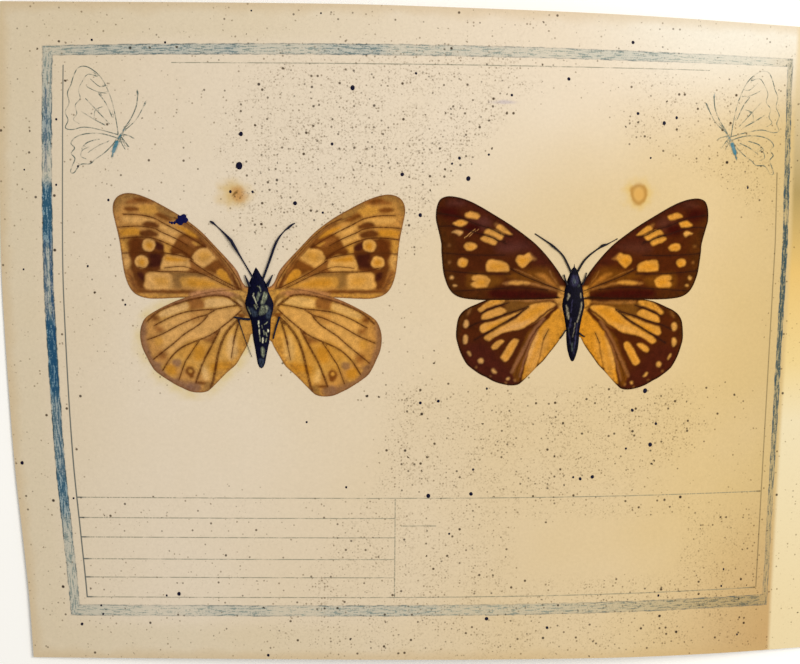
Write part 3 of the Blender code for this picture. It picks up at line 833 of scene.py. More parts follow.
# Washes are laid in this order on a wing's ground colour, as (paint, softness in mm, outline on the page),
# or with a half width behind it where the points are a line. They are measured on the left wing, and the
# right one's are mirrored about the body's axis and fitted.

def disc(x, y, radius, tall=1.0):
    angles = [math.tau * k / 8 for k in range(8)]
    return [(x + radius * math.cos(angle), y + tall * radius * math.sin(angle)) for angle in angles]


undersideForewing = {
    "ground": "tan",
    "washes": [
        # apex and upper cells
        ("fawn", 1.2, [(-100, 34.5), (-100, 42), (-88, 41), (-80, 35), (-82, 34.2), (-88, 37.6),
            (-93, 38.2), (-96.4, 37.4), (-97.4, 35)]),
        ("sienna", .5, [(-95, 38.4), (-92, 39.4), (-88.4, 38.6), (-88.6, 37.8), (-92, 37.6), (-95, 37.6)]),
        ("rust", .4, [(-93, 38.9), (-91, 39.2), (-89.3, 38.4), (-91, 38.2), (-92.8, 38.4)]),
        ("honey", .6, [(-91, 37.2), (-87.2, 37), (-86.4, 35.4), (-88.4, 34.6), (-91, 35), (-92, 36)]),
        ("fawn", .7, [(-87, 37.2), (-84, 36), (-80.6, 33.2), (-83.6, 33.6), (-86.2, 35.4)]),
        ("rust", .5, [(-95.9, 36.3), (-95, 36.9), (-93, 36.8), (-91.8, 36.2), (-92.5, 35.5),
            (-94.8, 35.4)]),
        ("rust", .6, [(-87.6, 34.6), (-86.2, 35.4), (-84.4, 34.4), (-83, 33.2), (-84.5, 32.9),
            (-86.2, 33.7)]),
        ("pale", .6, [(-92, 34), (-88, 33.5), (-88.4, 32.6), (-92, 32.4), (-96, 33), (-96, 34)]),
        ("ochre", .7, [(-97, 30.6), (-92.4, 31), (-91.4, 29.4), (-92.6, 28.8), (-97, 28.8)]),
        ("pale", .5, [(-86, 32), (-83, 31.8), (-80.4, 30), (-83, 29.4), (-86, 30.8)]),
        ("pale", .4, [(-87, 29.4), (-84, 29.9), (-81.6, 28.2), (-82.6, 26.7), (-85, 27.8), (-87, 28.6)]),
        ("umber", .5, [(-91, 32), (-90, 32.9), (-88, 32.8), (-86.4, 31.9), (-86.8, 31), (-88.5, 31),
            (-90.2, 31.3)]),
        ("umber", .5, [(-91.9, 29.8), (-90.5, 30.7), (-88.5, 30.6), (-86.7, 29.6), (-87.1, 28.6),
            (-89.5, 28.5), (-91.4, 28.8)]),
        ("honey", .5, [(-97.6, 28), (-94.8, 28), (-94.8, 24.8), (-97.2, 24.6)]),
        ("pale", .5, [(-97, 24), (-94.8, 24), (-94.8, 20.6), (-96, 20.2)]),
        # the eyed patch
        ("rust", .7, [(-95, 28), (-92, 28.6), (-91.4, 26), (-92.6, 23.4), (-94.4, 23), (-95, 25)]),
        ("umber", .55, [(-94.2, 27.6), (-92, 28.4), (-88, 28.1), (-85.4, 26.7), (-84.8, 24.5), (-85.4, 22),
            (-86, 20), (-87.3, 19), (-90, 18.7), (-90.3, 17.3), (-90.8, 15.6), (-90.5, 14.4),
            (-92.2, 14.2), (-93.6, 15.5), (-93.8, 17.5), (-94.6, 20), (-94.3, 22), (-94.8, 24.2),
            (-94.4, 25.5)]),
        ("plum", .7, [(-89.6, 24.3), (-88, 24.4), (-86, 24), (-85.9, 21.4), (-86.8, 20.2), (-88.6, 20.2),
            (-89.8, 20.4), (-89.2, 22)]),
        ("plum", .45, [(-87.8, 27.2), (-85.8, 26.6), (-85.3, 25.4), (-86.4, 25), (-87.5, 25.8)]),
        ("plum", .5, [(-92.6, 18.9), (-91, 18.8), (-90.8, 16.8), (-92, 16.9)]),
        ("pale", .28, disc(-89.3, 26.4, 1.75)),
        ("ochre", .7, disc(-89.2, 26.3, 1)),
        ("pale", .28, disc(-91.4, 21.8, 1.75)),
        ("ochre", .7, disc(-91.3, 21.7, 1)),
        ("honey", .3, [(-84.9, 27.3), (-83.4, 26.6), (-83, 25.2), (-83.8, 24), (-84.9, 24.4)]),
        # across the cell
        ("rust", .45, [(-83.6, 25), (-82.7, 26.3), (-81.4, 28.5), (-80, 29.5), (-78, 29.8), (-76, 29),
            (-74.5, 27.7), (-73.5, 26.1), (-75, 25.1), (-76.4, 24.8), (-77, 23.8), (-77.8, 22.6),
            (-79, 23.1), (-81, 24.1), (-83, 23.8)]),
        ("umber", .7, [(-83.4, 24.8), (-81, 25), (-79, 24.2), (-77.6, 23.2), (-79, 23.2), (-81, 24.2),
            (-83, 24)]),
        ("sienna", .6, [(-80.8, 28.4), (-78.8, 28.8), (-76, 27.4), (-74.8, 26.2), (-76.6, 25.8),
            (-78.6, 26.4), (-80, 27.2)]),
        ("honey", .4, [(-77.6, 27.4), (-76.4, 27.2), (-74.9, 26.2), (-76.4, 26.4)]),
        ("umber", .35, [(-76.6, 25.9), (-75, 25.9), (-73.8, 26.2), (-74.6, 26.8)]),
        ("pale", .3, [(-77.6, 23.1), (-76, 25.3), (-73.4, 25.5), (-71.1, 23.5), (-72.3, 22), (-74.8, 20.3),
            (-76.5, 21.3)]),
        ("honey", .9, [(-75.8, 24.2), (-73.4, 24.6), (-72.6, 23.4), (-75, 22)]),
        ("sienna", .5, [(-78.4, 21.6), (-77.6, 22), (-74.2, 19.6), (-71.6, 18.4), (-74, 18), (-78, 18.8),
            (-78.8, 19.8)]),
        ("rust", .5, [(-74.4, 20.4), (-72.5, 21.6), (-71, 22.5), (-69.7, 22.6), (-68.4, 20.8),
            (-67.4, 18.8), (-66.8, 16.8), (-68.2, 18.6), (-69.5, 19.8), (-70.8, 19.4), (-71, 18.4),
            (-72.5, 19), (-74.2, 19.7)]),
        ("ochre", .35, [(-70.8, 19.6), (-69.6, 19.9), (-68, 18.6), (-67.2, 16.6), (-67.2, 15.8),
            (-68.6, 16.4), (-70.4, 17.7), (-71, 18.7)]),
        ("pale", .4, [(-85.4, 22.8), (-84, 23.5), (-80.5, 22.9), (-78.4, 21.7), (-78.3, 20), (-80.5, 19.3),
            (-84, 19.3), (-86, 20.1)]),
        ("ochre", .5, [(-84.9, 23.1), (-84, 23.5), (-80.6, 22.8), (-79.2, 22.2), (-82, 21.9),
            (-84.8, 22.2)]),
        # below the cell
        ("smoke", .5, [(-86, 19.2), (-80, 19.1), (-76, 19), (-73.6, 18.2), (-77, 17.5), (-82, 17.7),
            (-83.4, 18.2)]),
        ("pale", .45, [(-90.2, 17), (-89.7, 18.7), (-85, 19), (-83.2, 17.6), (-82.9, 15.4), (-84.4, 14.3),
            (-89.5, 14.3), (-90.6, 15.4)]),
        ("honey", .9, [(-88, 17.4), (-85, 17.6), (-84.2, 15.6), (-87, 15.4)]),
        ("smoke", .8, [(-83, 18), (-80.5, 17.7), (-80.3, 14.8), (-82.8, 14.8)]),
        ("honey", .6, [(-80.4, 17.6), (-76, 17.6), (-71, 16.2), (-67.8, 15), (-72, 14.8), (-77, 14.8),
            (-80.4, 15.2)]),
        ("ochre", .7, [(-78.6, 17), (-75, 16.8), (-71.6, 15.8), (-74, 15.2), (-78.4, 15.4)]),
        ("rust", .45, [(-93, 14.4), (-88, 14.2), (-80, 14.2), (-76.4, 13.8), (-79, 13.1), (-88, 13.2),
            (-93.4, 13.4)]),
        ("sienna", .6, [(-95.6, 19.4), (-94.4, 19.2), (-93, 16), (-92.3, 13.8), (-93.6, 13.8),
            (-95, 17.2)]),
        ("line", .3, [(-96, 18.9), (-94.6, 18), (-93.8, 16.8)], .1),
        ("line", .3, [(-95.6, 17.8), (-94.2, 16.8), (-93.4, 15.6)], .1),
        ("line", .3, [(-95.2, 16.6), (-93.8, 15.6), (-92.8, 14.6)], .1),
        ("honey", .5, [(-93, 12.9), (-88, 12.8), (-80, 12.9), (-80, 12.2), (-90, 11.9)]),
        ("rose", .5, [(-78, 13.4), (-72, 14.5), (-66, 14.4), (-64, 13.5), (-66, 12), (-72, 12.2),
            (-77.6, 12.4)]),
        # along the front edge to the base
        ("sienna", .5, [(-81, 32.4), (-79.4, 32.4), (-74, 27.6), (-69, 22.2), (-66.2, 17.6), (-64.8, 14.6),
            (-65.8, 14.8), (-67.6, 18.2), (-70.2, 22.4), (-74.2, 26.8), (-78.8, 31)]),
        ("ochre", .4, [(-82, 31.6), (-80, 31.4), (-77.4, 30), (-75.8, 28.4), (-77.4, 28.8),
            (-80.4, 30.4)]),
        ("umber", .35, [(-67, 18.8), (-66.2, 17.8), (-64.8, 14.6), (-65.4, 14.6), (-66.6, 17)]),
        ("rose", .4, [(-74.6, 29.4), (-71, 26), (-67.4, 21.2), (-64.6, 16.6), (-63.6, 13.8), (-61, 14),
            (-66, 23), (-73, 31)]),
        ("line", .3, [(-84.6, 34.4), (-80, 32.6), (-76.4, 29.9), (-72.6, 26), (-69.2, 21.9), (-66.8, 18.6),
            (-64.9, 14.8)], .08),
        ("line", .3, [(-83.8, 33.6), (-79.8, 31.8), (-76.6, 29.2), (-73.4, 26), (-70.4, 22.4),
            (-68.2, 19.2), (-66, 15.6)], .05),
        ("honey", .4, [(-64.8, 14.2), (-63.4, 14.8), (-62, 14), (-63, 12.6), (-64.6, 13)]),
    ],
    "veins": [
        (.2, [(-74, 26), (-80, 29.6), (-85, 32.2), (-88, 33.8), (-92, 34.6), (-96, 34.7)]),
        (.17, [(-79, 26.5), (-82, 28.2), (-86, 30), (-88, 31), (-92, 31.5), (-97.5, 31.2)]),
        (.2, [(-77.5, 22.5), (-80, 24.6), (-83, 26.2), (-86, 27.5), (-89, 28.4), (-93, 28.5),
            (-97.5, 28)]),
        (.17, [(-78, 22.9), (-83, 24), (-88, 24.4), (-93, 24.3), (-96.8, 24.1)]),
        (.17, [(-76, 19), (-82, 19.2), (-87, 19.2), (-92, 20.3)]),
        (.17, [(-64.6, 14.4), (-70, 17.1), (-74, 19.4), (-78, 22.2)]),
        (.17, [(-65.2, 13.8), (-70, 16.2), (-74, 18.2), (-76, 18.9)]),
        (.16, [(-64.2, 14), (-64.9, 16.6), (-67.4, 20.6), (-70.6, 24.5), (-74.4, 28.6), (-78.4, 32),
            (-82, 33.8)]),
        (.12, [(-76, 19.2), (-80, 20.6), (-85, 20.2)]),
    ],
}

undersideHindwing = {
    "ground": "gold",
    "washes": [
        ("pale", .8, [(-88, 4), (-78, 8.6), (-72, 9), (-65, 9), (-66, 6), (-73, .6), (-80, -1.6),
            (-86, -4)]),
        ("tan", 1.2, [(-94, 9), (-88, 9), (-86.6, 6), (-86.6, 1), (-85.5, -3), (-82, -6.4), (-76, -8.6),
            (-73.6, -10.4), (-73, -15), (-80, -16), (-90, -12), (-95, 0)]),
        ("mauve", .8, [(-93, 6), (-90.4, 5), (-90.4, 0), (-88.4, -4), (-83.4, -9.6), (-78, -12.4),
            (-78, -15), (-86, -13), (-93, -4)]),
        ("tan", .5, [(-89.4, -1.6), (-87.8, -2), (-87, -5.6), (-88.6, -5)]),
        ("gold", .5, [(-86.6, -7), (-84.6, -7.4), (-82.6, -10), (-84.8, -9.4)]),
        ("rose", .4, [(-65, 13), (-70, 14.3), (-74, 13.9), (-78, 13), (-82, 11.7), (-88, 8.4), (-82, 10.3),
            (-78, 11.6), (-74, 12.4), (-70, 12.6), (-67, 12.2)]),
        ("cream", .35, [(-74.2, 11.4), (-70, 12.1), (-67.4, 11.6), (-65.8, 10.4), (-70, 9.6),
            (-74.2, 9.4)]),
        ("cream", .4, [(-79, 10.6), (-80.5, 10.6), (-86.2, 8.2), (-86, 6.6), (-79.4, 8.8)]),
        ("sienna", .6, [(-79, 11.6), (-76, 12.2), (-74.5, 11.2), (-74.8, 9.2), (-78.2, 8.6), (-78.6, 10)]),
        ("tan", .5, [(-78.2, 8.2), (-73, 8.9), (-72.4, 8.3), (-73.6, 7.2), (-75, 5.6), (-77.6, 4.8),
            (-78.2, 6)]),
        ("rust", .8, [(-88.8, 7.2), (-87.2, 7), (-87, 5.8), (-88.6, 5.7)]),
        ("sienna", .8, [(-88, 4), (-86.2, 3.9), (-85.6, 2.8), (-87.2, 2.5)]),
        ("honey", .6, [(-88, 1), (-86, .6), (-86.4, -1.2), (-88, -1)]),
        ("sienna", .9, [(-87, -3), (-85, -3.2), (-85.2, -4.8), (-86.8, -5)]),
        ("honey", .8, [(-79, 0), (-74, .6), (-72.6, -1), (-74, -4.6), (-78.4, -5.4), (-82, -3.4)]),
        ("ochre", .8, [(-77.6, -1.4), (-74.8, -1.4), (-74.6, -4.4), (-77, -5.2)]),
        ("ochre", .8, [(-73, -6), (-68, -5.4), (-66.8, -6.6), (-68.6, -8.4), (-72.4, -8.6)]),
        ("ochre", .7, [(-85.4, -6.8), (-82.8, -6.8), (-82.4, -9), (-84.8, -9.2)]),
        ("honey", .7, [(-80.6, -6), (-77.4, -6), (-77, -7), (-80, -7.4)]),
        ("honey", .8, [(-72.6, -1), (-70.8, -1.4), (-71.8, -5.6), (-74, -5.4)]),
        ("sienna", .7, [(-70.6, 2.8), (-71.4, .8), (-72.6, -.4), (-74.8, .4), (-73.4, 1.2), (-71.8, 2.2)]),
        ("mauve", .5, [(-83.2, -5.2), (-81.4, -5), (-81, -6.4), (-82.3, -7.1), (-83.2, -6.3)]),
        ("rust", .45, disc(-78.6, -8.4, 1.3, 1.1)),
        ("rust", .4, [(-79, -9.2), (-77.9, -9.1), (-77.6, -10), (-78.6, -10.2)]),
        ("honey", .3, disc(-78.6, -8.25, .5)),
        ("mauve", .6, [(-79, -11.4), (-76, -11.8), (-76, -14), (-79, -14)]),
        ("rust", .4, [(-76.6, -11.3), (-74, -11.4), (-73.6, -12), (-76.4, -12)]),
        ("fawn", .5, [(-74.4, -11.6), (-72.6, -11.8), (-73, -14), (-75, -14.2)]),
        ("cream", .6, [(-75.4, -7.2), (-74.4, -7.2), (-73.4, -10.2), (-74.8, -10.4)]),
        ("honey", .7, [(-71.4, -8), (-68.2, -8.6), (-70.4, -11), (-71.8, -11.6)]),
        ("honey", .8, [(-64.6, 5), (-61, 5), (-61.4, 2), (-63.6, -2.6), (-67, -8), (-66.4, -3), (-65, 1)]),
        ("cream", .8, [(-67.6, 1.4), (-66.2, 1), (-65.6, -3.4), (-67.6, -5), (-68.4, -2)]),
        ("smoke", .5, [(-66.4, 13.2), (-64.8, 12.6), (-63.2, 10.6), (-62.4, 7), (-63.6, 7.6),
            (-65.2, 10.6), (-66.4, 12)]),
        ("cream", .35, [(-65.6, 11.6), (-64.2, 10.8), (-63.8, 9.6), (-64.8, 10)]),
        ("line", .35, [(-66.4, 11.6), (-65, 9.8), (-63.4, 7.6), (-62.2, 7)], .16),
        ("line", .35, [(-64.8, 12.8), (-63.8, 11.2), (-63.2, 9.4)], .12),
        ("rust", .4, [(-65.4, 7.6), (-64, 7.8), (-63.2, 7), (-64.6, 6.4)]),
    ],
    "veins": [
        (.3, [(-64.5, 9.8), (-66.5, 11.2), (-68, 12.3), (-70.5, 12.7), (-73, 12.6), (-76, 12), (-79, 11.3),
            (-83, 10), (-87, 8.2), (-90, 5.6)]),
        (.22, [(-65, 10), (-68, 9.6), (-71, 9), (-74, 8.8), (-77, 8.5), (-80, 8), (-84, 6.5), (-88, 4.4)]),
        (.2, [(-71, 9), (-74, 7.3), (-76, 6.8), (-79, 5.6), (-82, 4.2), (-86, 2), (-90, .4)]),
        (.22, [(-73.5, 7.4), (-74, 6.6), (-75.5, 5), (-77.5, 3.6), (-80, 2), (-83, -.6), (-88.5, -5)]),
        (.24, [(-64.5, 8.5), (-67, 6.2), (-69.5, 4.2), (-71.5, 2.6), (-74, 1.2), (-77, 0), (-80, -1.3),
            (-82, -2.7), (-84, -4.8), (-86, -8)]),
        (.18, [(-76, .1), (-77.5, -2), (-79, -4.4), (-80, -6), (-81.6, -10.6)]),
        (.3, [(-70.2, 3.6), (-71.5, 1), (-73, -2), (-74.6, -5), (-75.8, -8), (-77, -11.4)]),
        (.38, [(-65, 6.3), (-67.5, 3.8), (-69.3, 1), (-70.7, -3), (-71.5, -7), (-72.3, -11),
            (-72.8, -12.8)]),
        (.3, [(-65, 5.8), (-65.8, 3), (-66.3, 1), (-66.6, -.6)]),
        (.14, [(-66.4, 0), (-66.9, -2.4), (-67.2, -4.5)]),
    ],
}

uppersideForewing = {
    "ground": "cocoa",
    "scratches": [  # on the left wing only
        ("buff", .1, [(-3.4, 28.8), (-1.8, 30.2), (-.6, 31.2)], .06),
        ("buff", .1, [(-2.2, 29.2), (-.8, 30.4), (.4, 31.2)], .03),
    ],
    "washes": [
        ("brown", 2, [(-12, 33), (-9.6, 33), (-6.4, 28), (-5.6, 20), (-3, 14.6), (2, 13.4), (0, 11),
            (-8, 11), (-13, 22)]),
        ("plum", 1.6, [(-9, 41), (0, 40), (16, 28), (25, 16), (20, 17.6), (13, 26), (7, 27), (6, 33),
            (-4, 37.4)]),
        ("mauve", 1.2, [(-8, 38.6), (-4.4, 39), (-4, 37.8), (-7.6, 37.4)]),
        ("mauve", 1, [(-2, 33.6), (2.4, 34.6), (4, 32.6), (1.6, 31.2), (-.4, 31.8)]),
        ("wine", 1.2, [(-10.6, 37), (-6, 37.4), (-4.4, 34.6), (-6.6, 33.6), (-9.6, 34.6)]),
        ("wine", .9, [(-2.6, 33), (.6, 32.8), (1, 30.6), (-1.6, 29.6), (-3.6, 31)]),
        ("mauve", 1.4, [(6, 27), (11, 27.6), (14.6, 26.6), (10, 25), (6, 25.2)]),
        ("chestnut", 1.2, [(8, 19), (14, 20), (19.6, 20.6), (22.6, 17), (23.4, 14.6), (18, 15.4),
            (10, 17.4)]),
        ("wine", .7, [(4, 14.4), (10, 14.8), (17, 14.4), (22.4, 13.2), (22, 12), (6, 12)]),
        ("chestnut", .8, [(-1, 14.8), (4, 15), (7, 16.6), (7, 18), (3, 19), (-2, 19.2), (-2.6, 16)]),
        ("amber", .28, [(-3.5, 35.2), (-2.4, 36), (-1.5, 36.2), (.2, 35.7), (1, 35), (.4, 34.2), (-.3, 34),
            (-1.6, 34.2), (-2.9, 34.6)]),
        ("amber", .28, [(-6.7, 32.8), (-5.4, 33.6), (-4.5, 33.9), (-3.2, 33.6), (-2.5, 33.1), (-3.3, 32.2),
            (-4.4, 31.9), (-5.7, 32.1)]),
        ("ochre", .5, disc(-4.6, 33, .9, .5)),
        ("buff", .28, [(-6.9, 30.4), (-5.9, 30.9), (-4.8, 31), (-3.9, 30.4), (-4.2, 29.6), (-4.9, 29.4),
            (-5.8, 29.9)]),
        ("tan", .5, [(4.8, 32.8), (5.4, 33), (6.8, 31.8), (5.6, 31.4)]),
        ("amber", .24, [(5.2, 31.7), (6.2, 32.6), (7.8, 31.9), (9.2, 30.7), (9.9, 29.7), (8.8, 29.7),
            (7.4, 30.2), (6, 31)]),
        ("amber", .26, [(1.9, 30.2), (3, 31.4), (4.8, 31.2), (6.4, 30.5), (7.7, 29.8), (7.1, 28.5),
            (6.2, 28.2), (4.9, 29), (3.4, 29.7)]),
        ("amber", .26, [(1, 28.7), (2, 29.6), (3.4, 29.4), (5, 28.8), (5.8, 28), (5.2, 26.9), (4.4, 26.9),
            (3.2, 27.5), (1.9, 28)]),
        ("amber", .28, [(-3.5, 26.5), (-3, 27.4), (-1.8, 27.7), (-.6, 27.3), (.2, 26.5), (-.3, 25.7),
            (-1.4, 25.3), (-2.8, 25.5)]),
        ("ochre", .5, disc(-1.6, 26.3, .8, .6)),
        ("amber", .28, [(-5.3, 22), (-4.9, 23), (-3.9, 23.4), (-2.8, 23.1), (-2.2, 22.3), (-2.8, 21.3),
            (-3.7, 20.9), (-4.8, 21.1)]),
        ("ochre", .5, disc(-3.5, 21.9, .8)),
        ("amber", .28, [(2.7, 20.6), (3, 22.2), (3.6, 22.9), (5.6, 22.9), (7.6, 22.5), (8.9, 21.6),
            (9.3, 20.4), (8.9, 19.7), (7.5, 19.6), (5, 19.6), (3, 19.8)]),
        ("ochre", .8, [(3.6, 20.8), (4.4, 21.8), (7, 21.8), (8.2, 20.8), (7, 20.3), (4.4, 20.3)]),
        ("tan", .4, [(14.6, 25), (16, 23.9), (16.8, 23.1), (15.2, 22.7), (14.4, 23.6)]),
        ("amber", .26, [(10.9, 23.4), (11.7, 24.2), (13.2, 24.4), (14.4, 24.9), (15.2, 24.1), (15.6, 23.2),
            (14.7, 22.2), (13.8, 21.3), (12.8, 20.7), (11.8, 21.4), (11, 22.4)]),
        ("ochre", .7, [(11.5, 23), (12.8, 23.6), (14.4, 23), (13, 21.4), (12, 21.8)]),
        ("amber", .28, [(-1.2, 18.2), (-.4, 18.7), (1.6, 18.8), (3, 18.2), (4, 17.2), (3.6, 16.1),
            (3, 15.3), (1.2, 15.1), (-.6, 15.2), (-1.4, 15.7), (-1.2, 16.4), (-.7, 16.9), (-1.2, 17.4)]),
        ("cocoa", .2, [(-2, 17), (-.2, 17)], .08),
        ("ochre", .7, [(0, 16.6), (1, 17.6), (2.8, 17.2), (2.4, 15.8), (.6, 15.8)]),
        ("buff", .3, disc(-6.7, 17.9, .6)),
        ("buff", .3, disc(-5.9, 15.7, .6, .6)),
        ("tan", .5, disc(-7.4, 22.2, .35)),
        ("tan", .6, disc(-7.6, 26.8, .25)),
        ("tan", .35, [(7.2, 16.5), (8.8, 17), (12, 17.3), (15, 16.8), (19, 15.8), (23, 14.9), (23, 14.2),
            (19, 15), (15.5, 15.8), (12, 15.9), (8.6, 15.9)]),
        ("amber", .4, [(9, 16.6), (11, 17.1), (13.6, 16.9), (15, 16.4), (13, 16.1), (10, 16.1)]),
        ("glow", .5, [(16.6, 19.2), (18.4, 19.2), (20, 18.2), (21.6, 16.6), (23.4, 14.8), (21.4, 15.6),
            (19, 17.2), (17, 18.6)]),
        ("tan", .25, [(20.4, 19.8), (21.6, 17.6), (23.6, 15)], .1),
        ("tan", .2, [(10.5, 20.4), (14, 19), (17.6, 17.4), (21, 15.8)], .06),
        ("amber", .4, [(23, 15), (23.8, 15.6), (25, 14.8), (25, 12), (23, 12.4), (23, 14)]),
        ("chestnut", .3, [(22.2, 15), (23.6, 13.8), (24.6, 13.4)], .15),
        ("chestnut", .3, [(23.4, 14.4), (22.4, 17), (21.2, 19.4)], .12),
    ],
    "veins": [
        (.14, [(8.6, 29.2), (4.5, 31.2), (0, 32.6), (-5, 34.6), (-10.8, 35.6)]),
        (.16, [(9.6, 29.2), (7.2, 29.7), (4.5, 31.1), (3, 31.8)]),
        (.2, [(7.6, 28), (6, 28.1), (4.5, 28.9), (1, 30)]),
        (.14, [(8, 27.4), (4.5, 28.8), (1, 29.9), (-6, 32), (-10.9, 31.9)]),
        (.12, [(7.6, 24.2), (0, 24.2), (-5, 24.4), (-9.7, 24.8)]),
        (.12, [(9.4, 19), (3, 19), (-4, 19.4), (-9.3, 20)]),
        (.14, [(24.5, 14.2), (17, 17), (13, 18.6), (9.6, 20.4)]),
        (.12, [(20, 14.6), (12, 15.2), (4, 14.8), (-6, 14.2)]),
    ],
}

uppersideHindwing = {
    "ground": "cocoa",
    "washes": [
        ("plum", 1.2, [(-3, -1), (3, 0), (8, -5.6), (11, -8), (12, -12), (4, -13), (-4, -8)]),
        ("brown", .9, [(-6, 6), (-3.6, 9), (1, 11.4), (1, 10), (-1.4, 8), (-4, 4), (-4.6, 0), (-6, 0)]),
        ("olive", .7, [(7.6, 12), (15, 12.4), (17, 11), (14.6, 9.4), (12, 8.6), (9, 7.8), (8, 8.8),
            (8, 10)]),
        ("amber", .26, [(.6, 9.2), (2.5, 10.8), (4.6, 12.2), (8.2, 12.4), (7.8, 11.1), (6.8, 10.6),
            (5, 10.1), (3, 9.4), (1.6, 8.3)]),
        ("ochre", .5, [(2.4, 10), (5, 11.6), (7.2, 11.6), (5, 10.6)]),
        ("amber", .26, [(1.7, 6.6), (2.1, 8), (4.2, 9.1), (6.5, 10), (7.7, 9.7), (8.6, 8.7), (7.6, 7.7),
            (5, 6.8), (3.2, 6.2), (2.1, 6.2)]),
        ("amber", .26, [(1.2, 4), (1.9, 5.2), (4.5, 5.9), (8, 7.2), (10, 7.9), (12, 8.6), (13, 8.9),
            (11, 7.3), (8.5, 5.9), (5.5, 4.3), (3.2, 3), (2, 2.7), (1.3, 3.2)]),
        ("ochre", .6, [(3, 4), (5, 5.2), (8.6, 6.2), (7, 4.8), (4.4, 3.6)]),
        ("amber", .26, [(2.6, 1), (3, 2.1), (6, 3.9), (9, 5.5), (11.5, 7.1), (13.2, 8.7), (15, 10.4),
            (18, 11.1), (21, 11.2), (22.4, 10.4), (20.5, 8.2), (18, 6.3), (15.5, 4.8), (12.5, 3.7),
            (9.5, 3.1), (6.5, 2.1), (4, .4)]),
        ("ochre", .9, [(12, 6), (14.6, 9), (18, 10.6), (20.6, 10.4), (18, 8), (14, 5.6)]),
        ("buff", .7, [(5, 2.2), (9, 4.2), (12, 5.4), (15, 6.2), (13, 4.4), (9, 3.5)]),
        ("ochre", .3, [(23.2, 9.6), (26, 7), (26, 4), (23.8, .6), (20, -4.2), (17.5, -7), (15.5, -9.2),
            (13.2, -10.7), (13.5, -8), (14.3, -4.5), (16.2, 1), (17.9, 4), (20.4, 6.8), (22.2, 8.8)]),
        ("amber", 1, [(19.6, 4), (18.4, 0), (16.2, -4), (14.4, -9.6), (16.6, -8), (19, -3.6), (20.4, .6)]),
        ("buff", .7, [(17.6, 2.6), (16.4, -2), (14.6, -6.4), (14.6, -3.4), (16.4, 1)]),
        ("chestnut", .22, [(19.2, 1), (18.6, -2), (17.7, -6.5)], .16),
        ("amber", .26, [(4.6, -.8), (6.3, .5), (7.6, .8), (8.2, .2), (7.2, -.8), (6.2, -1.7), (5.2, -2),
            (4.6, -1.6)]),
        ("amber", .26, [(7.1, -4.2), (8.3, -2.2), (9.5, -.1), (10.8, 1.1), (12, .8), (12.2, -.1),
            (11.1, -2), (9.8, -4.3), (8.8, -5.4), (7.8, -5.3)]),
        ("ochre", .6, [(8.4, -4), (10.6, 0), (11.2, -.2), (9.4, -3.8)]),
        ("buff", .3, disc(-2.6, 5.1, .85, 1.5)),
        ("buff", .3, disc(-2.7, .9, .75, 1.8)),
        ("buff", .3, [(-2.2, -2.6), (-1.6, -2.4), (-1, -3.6), (-1.4, -4)]),
        ("buff", .3, disc(1.6, -5.2, .85)),
        ("buff", .3, [(4.6, -7.6), (5.4, -7.4), (6.2, -8.6), (5.2, -8.6)]),
        ("buff", .3, disc(9.4, -10.2, .5)),
        ("tan", .3, disc(11.3, -10.7, .5)),
        ("tan", .35, disc(8.8, -11.5, .4)),
        ("tan", .35, disc(.4, -7, .35)),
        ("tan", .35, disc(4.4, -9.6, .35, .7)),
        ("tan", .5, [(-2.4, 7.8), (-1.8, 9.2), (-1.2, 9.4), (-1.8, 8)]),
        ("chestnut", .4, [(18, 5), (14.8, 3), (12.6, -2), (10.4, -7.6), (11.8, -11), (13.2, -10),
            (14.4, -4), (16.6, 1.4)]),
        ("cocoa", .26, [(22.8, 9.6), (20, 7.4), (17.4, 4.4), (15.9, 1), (14.6, -2.6), (13.8, -6.5),
            (12.9, -10.6)], .3),
        ("cocoa", .26, [(22.8, 10.4), (20, 8.6), (17, 6), (14.4, 4.2), (12.8, 1), (11, -3.4)], .3),
        ("dun", .3, [(19, 6.6), (16.6, 3.6), (14.6, 0), (12.8, -3.6), (11.2, -6.6), (10.4, -8.2)], .42),
        ("dun", .25, [(17.4, 3.4), (15.6, 0), (14.2, -3.8), (13.2, -7.2), (12.6, -9.6)], .24),
        ("cocoa", .16, [(18, 4.6), (15.6, 1.2), (13.8, -3), (12.2, -6.6), (11.4, -9.6)], .1),
        ("tan", .35, [(9.5, 12), (14, 11.8), (18, 11.7), (22, 11.9)], .4),
        ("chestnut", .25, [(12, 11.1), (15, 10.9), (18.6, 11.4), (21, 11.7)], .16),
        ("amber", .4, [(22, 12.4), (25.4, 12.4), (25.4, 8), (24, 8.6), (22.8, 10.4)]),
        ("chestnut", .25, [(21.4, 11.7), (22.4, 10.9), (23.6, 10.4)], .14),
    ],
    "veins": [
        (.26, [(14.6, 9.8), (13, 8.6), (10, 6.6), (7, 4.9), (3, 2.5), (0, .8)]),
        (.2, [(14.6, 10), (12, 9), (8.6, 8), (5, 6.7), (1, 5.6), (-1.6, 4.4)]),
        (.2, [(9, 11), (6.8, 10.3), (4.4, 9.4), (1.6, 8.2)]),
        (.12, [(20.4, 3.5), (19.2, 1)]),
    ],
}

